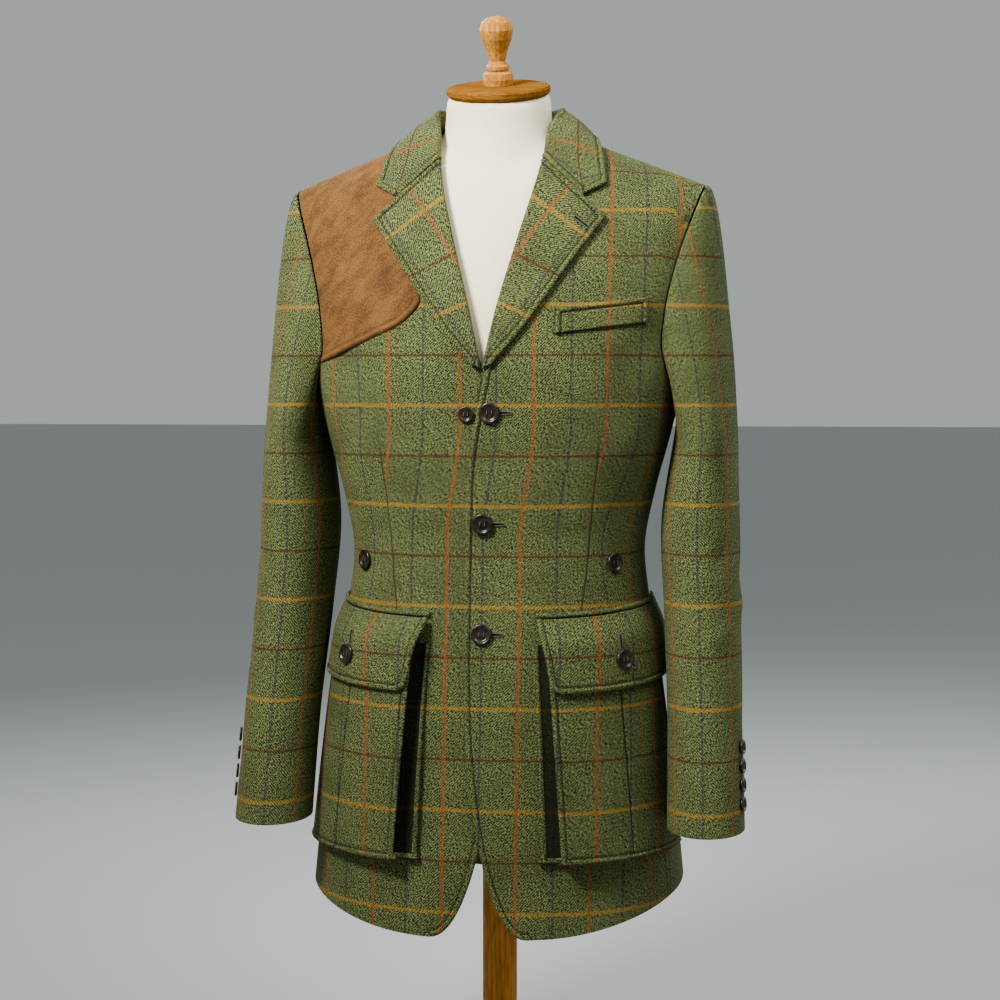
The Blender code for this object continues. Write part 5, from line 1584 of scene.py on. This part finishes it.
def tube(path, radius, sides=8, closed=False):
    """Points and faces of a thin tube along a path."""
    path = np.asarray(path)
    if closed:
        ahead = unit(np.roll(path, -1, axis=0) - np.roll(path, 1, axis=0))
        helper = np.cross(ahead, unit(path[len(path) // 3] - path[0])[None, :])
    else:
        ahead = unit(np.gradient(path, axis=0))
        helper = np.cross(ahead, np.array(TUBE_HELPER))
    first = unit(helper + TINY)
    second = np.cross(ahead, first)
    turns = (np.arange(sides) * 2 * pi / sides)[:, None]
    rings = path[:, None] + radius * (np.cos(turns) * first[:, None] + np.sin(turns) * second[:, None])
    return rings.reshape(-1, 3), tube_faces(len(path), sides, closed)


def join(shapes):
    """Points and faces of several shapes as one."""
    points = []
    faces = []
    count = 0
    for shape_points, shape_faces in shapes:
        points.append(shape_points)
        faces.extend([[index + count for index in face] for face in shape_faces])
        count += len(shape_points)
    return np.concatenate(points), faces


def loose_piece(name, shapes, paint):
    """One piece from several small shapes."""
    piece = new_piece(name, *join(shapes), paint)
    return piece


def upright(normal):
    """Directions to the right and up on a face with this normal."""
    right = unit(np.cross(np.array([0.0, 0.0, 1.0]), normal))
    return right, np.cross(normal, right)


def make_buttons():
    hole_shades = []
    threads = []
    for spot in button_spots():
        profile = [(step.height * spot.radius, step.radius * spot.radius) for step in BUTTON_PROFILE]
        foot = spot.point + spot.normal * spot.lift
        shape = lathe(profile, foot, spot.normal, BUTTON_SIDES)
        piece = loose_piece(f"fine_{spot.node}", [shape], "horn")
        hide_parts(spot.node)
        right, up = upright(spot.normal)
        top = foot + spot.normal * (BUTTON_PROFILE[-1].height * spot.radius)
        reach = HOLE_SPREAD * spot.radius
        for across in (-reach, reach):
            ends = [top + right * across + up * high for high in (-reach, reach)]
            # Each of the button's holes is a dark disc, painted shade for its depth.
            for end in ends:
                disc = [(height, HOLE_RADIUS * spot.radius) for height in HOLE_DISC]
                hole_shades.append(lathe(disc, end, spot.normal, HOLE_SIDES))
            bow = [mix(*ends, share) + spot.normal * THREAD_RADIUS * THREAD_BOW * sin(pi * share)
                   for share in np.linspace(0.0, 1.0, THREAD_STEPS)]
            threads.append(tube(bow, THREAD_RADIUS))
    loose_piece("button_holes", hole_shades, "hole")
    loose_piece("button_threads", threads, "thread")


def stadium(length, width, count=40):
    """A long round-ended loop in a plane, wider at its start like a keyhole."""
    turns = np.linspace(0.0, 2 * pi, count, endpoint=False)
    along = np.cos(turns) * length / 2
    swell = 1 + KEYHOLE_SWELL * ease(-along, length * KEYHOLE_START, length / 2)
    beside = np.sign(np.sin(turns)) * np.abs(np.sin(turns)) ** 0.5 * width / 2 * swell
    return along, beside


def make_buttonholes():
    loops = []
    slit_shades = []
    places = []
    for row in FRONT_BUTTONS:
        x = row.x + FRONT_BUTTON_RADIUS + BUTTONHOLE_SHIFT
        places.append((1, on_front(np.array([x]), np.array([row.z])), (1.0, 0.0), BUTTONHOLE_LENGTH))
    spot = lapel_point(np.array([LAPEL_HOLE_ALONG]), np.array([LAPEL_HOLE_ACROSS]), LEAF_REST + CLOTH)[:2]
    places.append((1, spot, LAPEL_HOLE_RUN, BUTTONHOLE_LENGTH * LAPEL_HOLE_STRETCH))
    share = np.array([FLAP_BUTTON_SHARE - FLAP_HOLE_RISE])
    angle, z, out = flap_lattice(share, np.array([FLAP_BUTTON_ALONG]))
    for side, _ in SIDES:
        spot = round_trunk(angle, z, out + CLOTH)
        places.append((side, spot, (0.0, 1.0), BUTTONHOLE_LENGTH * FLAP_HOLE_STRETCH))
    for side, spot, direction, length in places:
        point, normal = one(spot)
        right, up = upright(normal)
        run = right * direction[0] + up * direction[1]
        aside = np.cross(normal, run)
        # The loop is thread; the slit inside it is a dark loop of painted shade.
        for row, store in ((HOLE_LOOP, loops), (HOLE_SLIT, slit_shades)):
            along, beside = stadium(length, BUTTONHOLE_WIDTH * row.width_share)
            rise = BUTTONHOLE_THREAD * row.rise_share
            path = point + normal * rise + along[:, None] * run + beside[:, None] * aside
            store.append(tube(mirrored(path, side), BUTTONHOLE_THREAD, 8, True))
    loose_piece("buttonhole_threads", loops, "thread")
    loose_piece("buttonhole_slits", slit_shades, "hole")


def make_form():
    turns = np.arange(FORM_SIDES) * 2 * pi / FORM_SIDES
    levels = [(z, 0.0) for z in np.linspace(FORM_BOTTOM_Z, CHEST_Z, FORM_ROWS)]
    lean = np.linspace(0.0, np.arcsin(FORM_TOP_SHARE), FORM_SHOULDER_ROWS)[1:]
    levels += [(CHEST_Z, share) for share in np.sin(lean)]
    rings = []
    for z, share in levels:
        width = float(column(TRUNK, "half_width", min(z, CHEST_Z))) - FORM_INSET
        width = mix(width, FORM_SHOULDER_X, ease(share, 0.0, 1.0))
        squareness = np.where(np.cos(turns) >= 0, FRONT_SQUARENESS, BACK_SQUARENESS)
        x = width * np.sign(np.sin(turns)) * np.abs(np.sin(turns)) ** (2 / squareness)
        drop = FORM_SEAT_DROP + FORM_NECK_DROP * (1 - ease(np.abs(x), NECK_X, 2 * NECK_X))
        height = z + share * (shoulder_z(x) - drop - CHEST_Z)
        less = (FORM_INSET, width, drop)
        front = -trunk_depth(x, height, *FRONT_FACE, *less)
        back = trunk_depth(x, height, *BACK_FACE, *less)
        rings.append(stack(x, np.where(np.cos(turns) >= 0, front, back), height))
    neck = []
    for z in np.linspace(NECK[0].z, NECK[-1].z, NECK_ROWS):
        row = {name: float(column(NECK, name, z)) for name in NeckRow._fields}
        tilt = radians(row["tilt"])
        depth = -row["half_depth"] * np.cos(turns)
        across = row["half_width"] * np.sin(turns)
        neck.append(stack(across, row["centre_y"] + depth * cos(tilt), z + depth * sin(tilt)))
    shapes = [(np.concatenate(body), tube_faces(len(body), FORM_SIDES)) for body in (rings, neck)]
    piece = loose_piece("cover_form_torso", shapes, "linen")
    whole = piece.modifiers.new("whole", "REMESH")
    whole.mode = "VOXEL"
    whole.voxel_size = FORM_VOXEL
    whole.use_smooth_shade = True
    soft = piece.modifiers.new("soft", "SMOOTH")
    soft.factor = FORM_SMOOTH
    soft.iterations = FORM_SMOOTH_PASSES
    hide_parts("form_torso")


def make_stand():
    for node, paint in (("neck_cap", "board"), ("finial", "wood"), ("pole", "wood"), ("base", "board")):
        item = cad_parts[node]
        item.data.materials.clear()
        item.data.materials.append(bpy.data.materials[f"fine_{paint}"])


def make_stage(stage):
    floor = bpy.data.meshes.new("floor")
    half = stage.floor_size / 2
    floor.from_pydata([(-half, -half, 0.0), (half, -half, 0.0), (half, half, 0.0), (-half, half, 0.0)], [],
                      [(0, 1, 2, 3)])
    ground = bpy.data.objects.new("floor", floor)
    paint = Paint("floor")
    spot = paint.room()
    dust_and_shade = paint.noise(spot, 6.0, 3.0)
    worn = opaque([part * FLOOR_SHADE for part in stage.floor_colour])
    colour = paint.blend(dust_and_shade, opaque(stage.floor_colour), worn)
    floor.materials.append(paint.finish(colour, 0.9 + dust_and_shade * 0.05, paint.bump(dust_and_shade, 0.0002, 0.1), {}))
    bpy.context.scene.collection.objects.link(ground)
    world = bpy.data.worlds.new("studio")
    world.use_nodes = True
    backdrop = world.node_tree.nodes["Background"]
    backdrop.inputs["Color"].default_value = opaque(stage.air_colour)
    backdrop.inputs["Strength"].default_value = stage.air_light
    bpy.context.scene.world = world
    for lamp in LAMPS:
        light = bpy.data.lights.new(lamp.name, "AREA")
        light.shape = "DISK"
        light.size = lamp.size
        light.energy = lamp.power * stage.lamp_power
        light.spread = radians(lamp.spread)
        item = bpy.data.objects.new(lamp.name, light)
        turn = radians(lamp.azimuth)
        item.location = (lamp.distance * sin(turn), -lamp.distance * cos(turn), lamp.height)
        aim = Vector((0.0, 0.0, lamp.aim_z))
        item.rotation_euler = (aim - item.location).to_track_quat("-Z", "Y").to_euler()
        bpy.context.scene.collection.objects.link(item)
    lens = bpy.data.cameras.new("camera")
    lens.sensor_width = stage.sensor_width
    lens.lens = stage.lens
    view = bpy.data.objects.new("camera", lens)
    turn = radians(stage.azimuth)
    view.location = (stage.distance * sin(turn), -stage.distance * cos(turn), stage.eye_height)
    aim = Vector((0.0, 0.0, stage.aim_height))
    view.rotation_euler = (aim - view.location).to_track_quat("-Z", "Y").to_euler()
    bpy.context.scene.collection.objects.link(view)
    bpy.context.scene.camera = view


PAINTS = (
    tweed_paint, suede_paint, cotton_paint, wood_paint, board_paint, horn_paint, thread_paint, hole_shade_paint,
)


def colour_setting(name, description, default):
    return bpy.props.FloatVectorProperty(name=name, description=description, default=default, size=3,
                                         subtype="COLOR", min=0.0, max=1.0)


def length_setting(name, description, default):
    return bpy.props.FloatProperty(name=name, description=description, default=default, unit="LENGTH")


def number_setting(name, description, default):
    return bpy.props.FloatProperty(name=name, description=description, default=default)


class BlazerLooks(bpy.types.PropertyGroup):
    """Colours and small sizes of the finishes."""

    dark_green: colour_setting("Dark green", "Darker wool of the ground", (0.008, 0.011, 0.002))
    light_green: colour_setting("Light green", "Lighter wool of the ground", (0.138, 0.160, 0.050))
    straw: colour_setting("Straw", "Pale flecks in the ground", (0.240, 0.240, 0.100))
    # Painted shade: seams, stitch rows, darts, pleats, gussets, outlines and holes are darkened towards this
    # colour; the thread's darker twist uses it too.
    shadow_green: colour_setting("Seam shade", "Depth of a seam or a stitch row", (0.0025, 0.0032, 0.0012))
    mustard: colour_setting("Mustard", "Wide yarns across", (0.300, 0.150, 0.013))
    orange: colour_setting("Rust orange", "Wide yarns along", (0.230, 0.055, 0.011))
    brown: colour_setting("Brown", "Thin yarns across", (0.058, 0.014, 0.007))
    navy: colour_setting("Navy", "Thin yarns along", (0.020, 0.024, 0.033))
    dark_suede: colour_setting("Dark suede", "Suede brushed away from the light", (0.055, 0.024, 0.006))
    light_suede: colour_setting("Light suede", "Suede brushed towards the light", (0.160, 0.069, 0.017))
    cream: colour_setting("Cream", "Cotton cover of the form", (0.980, 0.880, 0.630))
    dark_cream: colour_setting("Dark cream", "Threads of the cover in shade", (0.840, 0.730, 0.480))
    dark_wood: colour_setting("Dark wood", "Grain of the turned wood", (0.215, 0.072, 0.008))
    light_wood: colour_setting("Light wood", "Wood between the grain", (0.600, 0.260, 0.038))
    dark_horn: colour_setting("Dark horn", "Horn of the buttons", (0.006, 0.004, 0.003))
    light_horn: colour_setting("Light horn", "Streaks in the horn", (0.048, 0.026, 0.011))
    thread: colour_setting("Thread", "Sewing thread", (0.090, 0.080, 0.040))
    twill: length_setting("Twill", "Width of one twill line", 0.0029)
    rope: length_setting("Rope", "Width of one twist of a coloured yarn", 0.0038)
    dash: length_setting("Dash", "Length of one dash of the navy yarn", 0.0060)
    stitch_inset: length_setting("Stitch inset", "Distance of the stitch row from a sewn edge", STITCH_INSET)


class BlazerStage(bpy.types.PropertyGroup):
    """Floor, light and camera."""

    floor_size: length_setting("Floor size", "Side of the plain floor", 60.0)
    floor_colour: colour_setting("Floor colour", "Colour of the plain floor", (0.40, 0.42, 0.42))
    air_colour: colour_setting("Air colour", "Colour of the soft light all round", (0.80, 0.87, 0.85))
    air_light: number_setting("Air light", "Strength of the light all round", 0.50)
    lamp_power: number_setting("Lamp power", "Share of the lamps' power", 1.0)
    azimuth: number_setting("Azimuth", "Degrees round the stand from the front", 8.0)
    distance: length_setting("Distance", "From the pole's axis to the camera", 2.0)
    eye_height: length_setting("Eye height", "Height of the camera", 0.76)
    aim_height: length_setting("Aim height", "Height that the camera looks at", 0.636)
    lens: number_setting("Lens", "Focal length in millimetres", 69.8)
    sensor_width: number_setting("Sensor", "Sensor width in millimetres", 36.0)


class Step:
    """What a step does: its makers, one after another."""

    def execute(self, context):
        for make in self.makers:
            make()
        return {"FINISHED"}


class BLAZER_OT_finishes(bpy.types.Operator):
    """Mixes the finishes: tweed, suede, cotton, wood, horn, thread and the painted shade of the holes"""

    bl_idname = "blazer.finishes"
    bl_label = "Finishes"

    def execute(self, context):
        looks = context.scene.blazer_looks
        for mix_paint in PAINTS:
            mix_paint(looks)
        return {"FINISHED"}


class BLAZER_OT_body(Step, bpy.types.Operator):
    """Makes the fronts, the sides and the backs"""

    bl_idname = "blazer.body"
    bl_label = "Body of the jacket"
    makers = (make_fronts, make_sides, make_backs)


class BLAZER_OT_lapels(Step, bpy.types.Operator):
    """Makes the turned lapels"""

    bl_idname = "blazer.lapels"
    bl_label = "Lapels"
    makers = (make_lapels,)


class BLAZER_OT_collar(Step, bpy.types.Operator):
    """Makes the collar"""

    bl_idname = "blazer.collar"
    bl_label = "Collar"
    makers = (make_collar,)


class BLAZER_OT_sleeves(Step, bpy.types.Operator):
    """Makes the two-piece sleeves"""

    bl_idname = "blazer.sleeves"
    bl_label = "Sleeves"
    makers = (make_sleeves,)


class BLAZER_OT_patch(Step, bpy.types.Operator):
    """Makes the suede shoulder patch"""

    bl_idname = "blazer.patch"
    bl_label = "Shoulder patch"
    makers = (make_patch,)


class BLAZER_OT_pockets(Step, bpy.types.Operator):
    """Makes the breast welt, the bellows pockets, their flaps and ridges"""

    bl_idname = "blazer.pockets"
    bl_label = "Pockets"
    makers = (make_welt, make_pockets, make_flaps)


class BLAZER_OT_buttons(Step, bpy.types.Operator):
    """Makes the horn buttons and the buttonholes"""

    bl_idname = "blazer.buttons"
    bl_label = "Buttons"
    makers = (make_buttons, make_buttonholes)


class BLAZER_OT_form(Step, bpy.types.Operator):
    """Makes the cotton-covered form and finishes the wood of its stand"""

    bl_idname = "blazer.form"
    bl_label = "Dress form"
    makers = (make_form, make_stand)


class BLAZER_OT_stage(bpy.types.Operator):
    """Sets the floor, the soft light and the camera"""

    bl_idname = "blazer.stage"
    bl_label = "Stage"

    def execute(self, context):
        make_stage(context.scene.blazer_stage)
        return {"FINISHED"}


STEPS = (
    BLAZER_OT_finishes,
    BLAZER_OT_body,
    BLAZER_OT_lapels,
    BLAZER_OT_collar,
    BLAZER_OT_sleeves,
    BLAZER_OT_patch,
    BLAZER_OT_pockets,
    BLAZER_OT_buttons,
    BLAZER_OT_form,
    BLAZER_OT_stage,
)


class BLAZER_PT_panel(bpy.types.Panel):
    """Lists the settings and the steps"""

    bl_idname = "BLAZER_PT_panel"
    bl_label = "Blazer"
    bl_space_type = "VIEW_3D"
    bl_region_type = "UI"
    bl_category = "Blazer"

    def draw(self, context):
        for settings in (context.scene.blazer_looks, context.scene.blazer_stage):
            for name in settings.__annotations__:
                self.layout.prop(settings, name)
        for step in STEPS:
            self.layout.operator(step.bl_idname)


CLASSES = (BlazerLooks, BlazerStage, *STEPS, BLAZER_PT_panel)


def register():
    for item in CLASSES:
        bpy.utils.register_class(item)
    bpy.types.Scene.blazer_looks = bpy.props.PointerProperty(type=BlazerLooks)
    bpy.types.Scene.blazer_stage = bpy.props.PointerProperty(type=BlazerStage)


def unregister():
    del bpy.types.Scene.blazer_stage
    del bpy.types.Scene.blazer_looks
    for item in reversed(CLASSES):
        bpy.utils.unregister_class(item)


def main():
    register()
    for step in STEPS:
        getattr(bpy.ops.blazer, step.bl_idname.split(".")[1])()


if __name__ == "__main__":
    main()
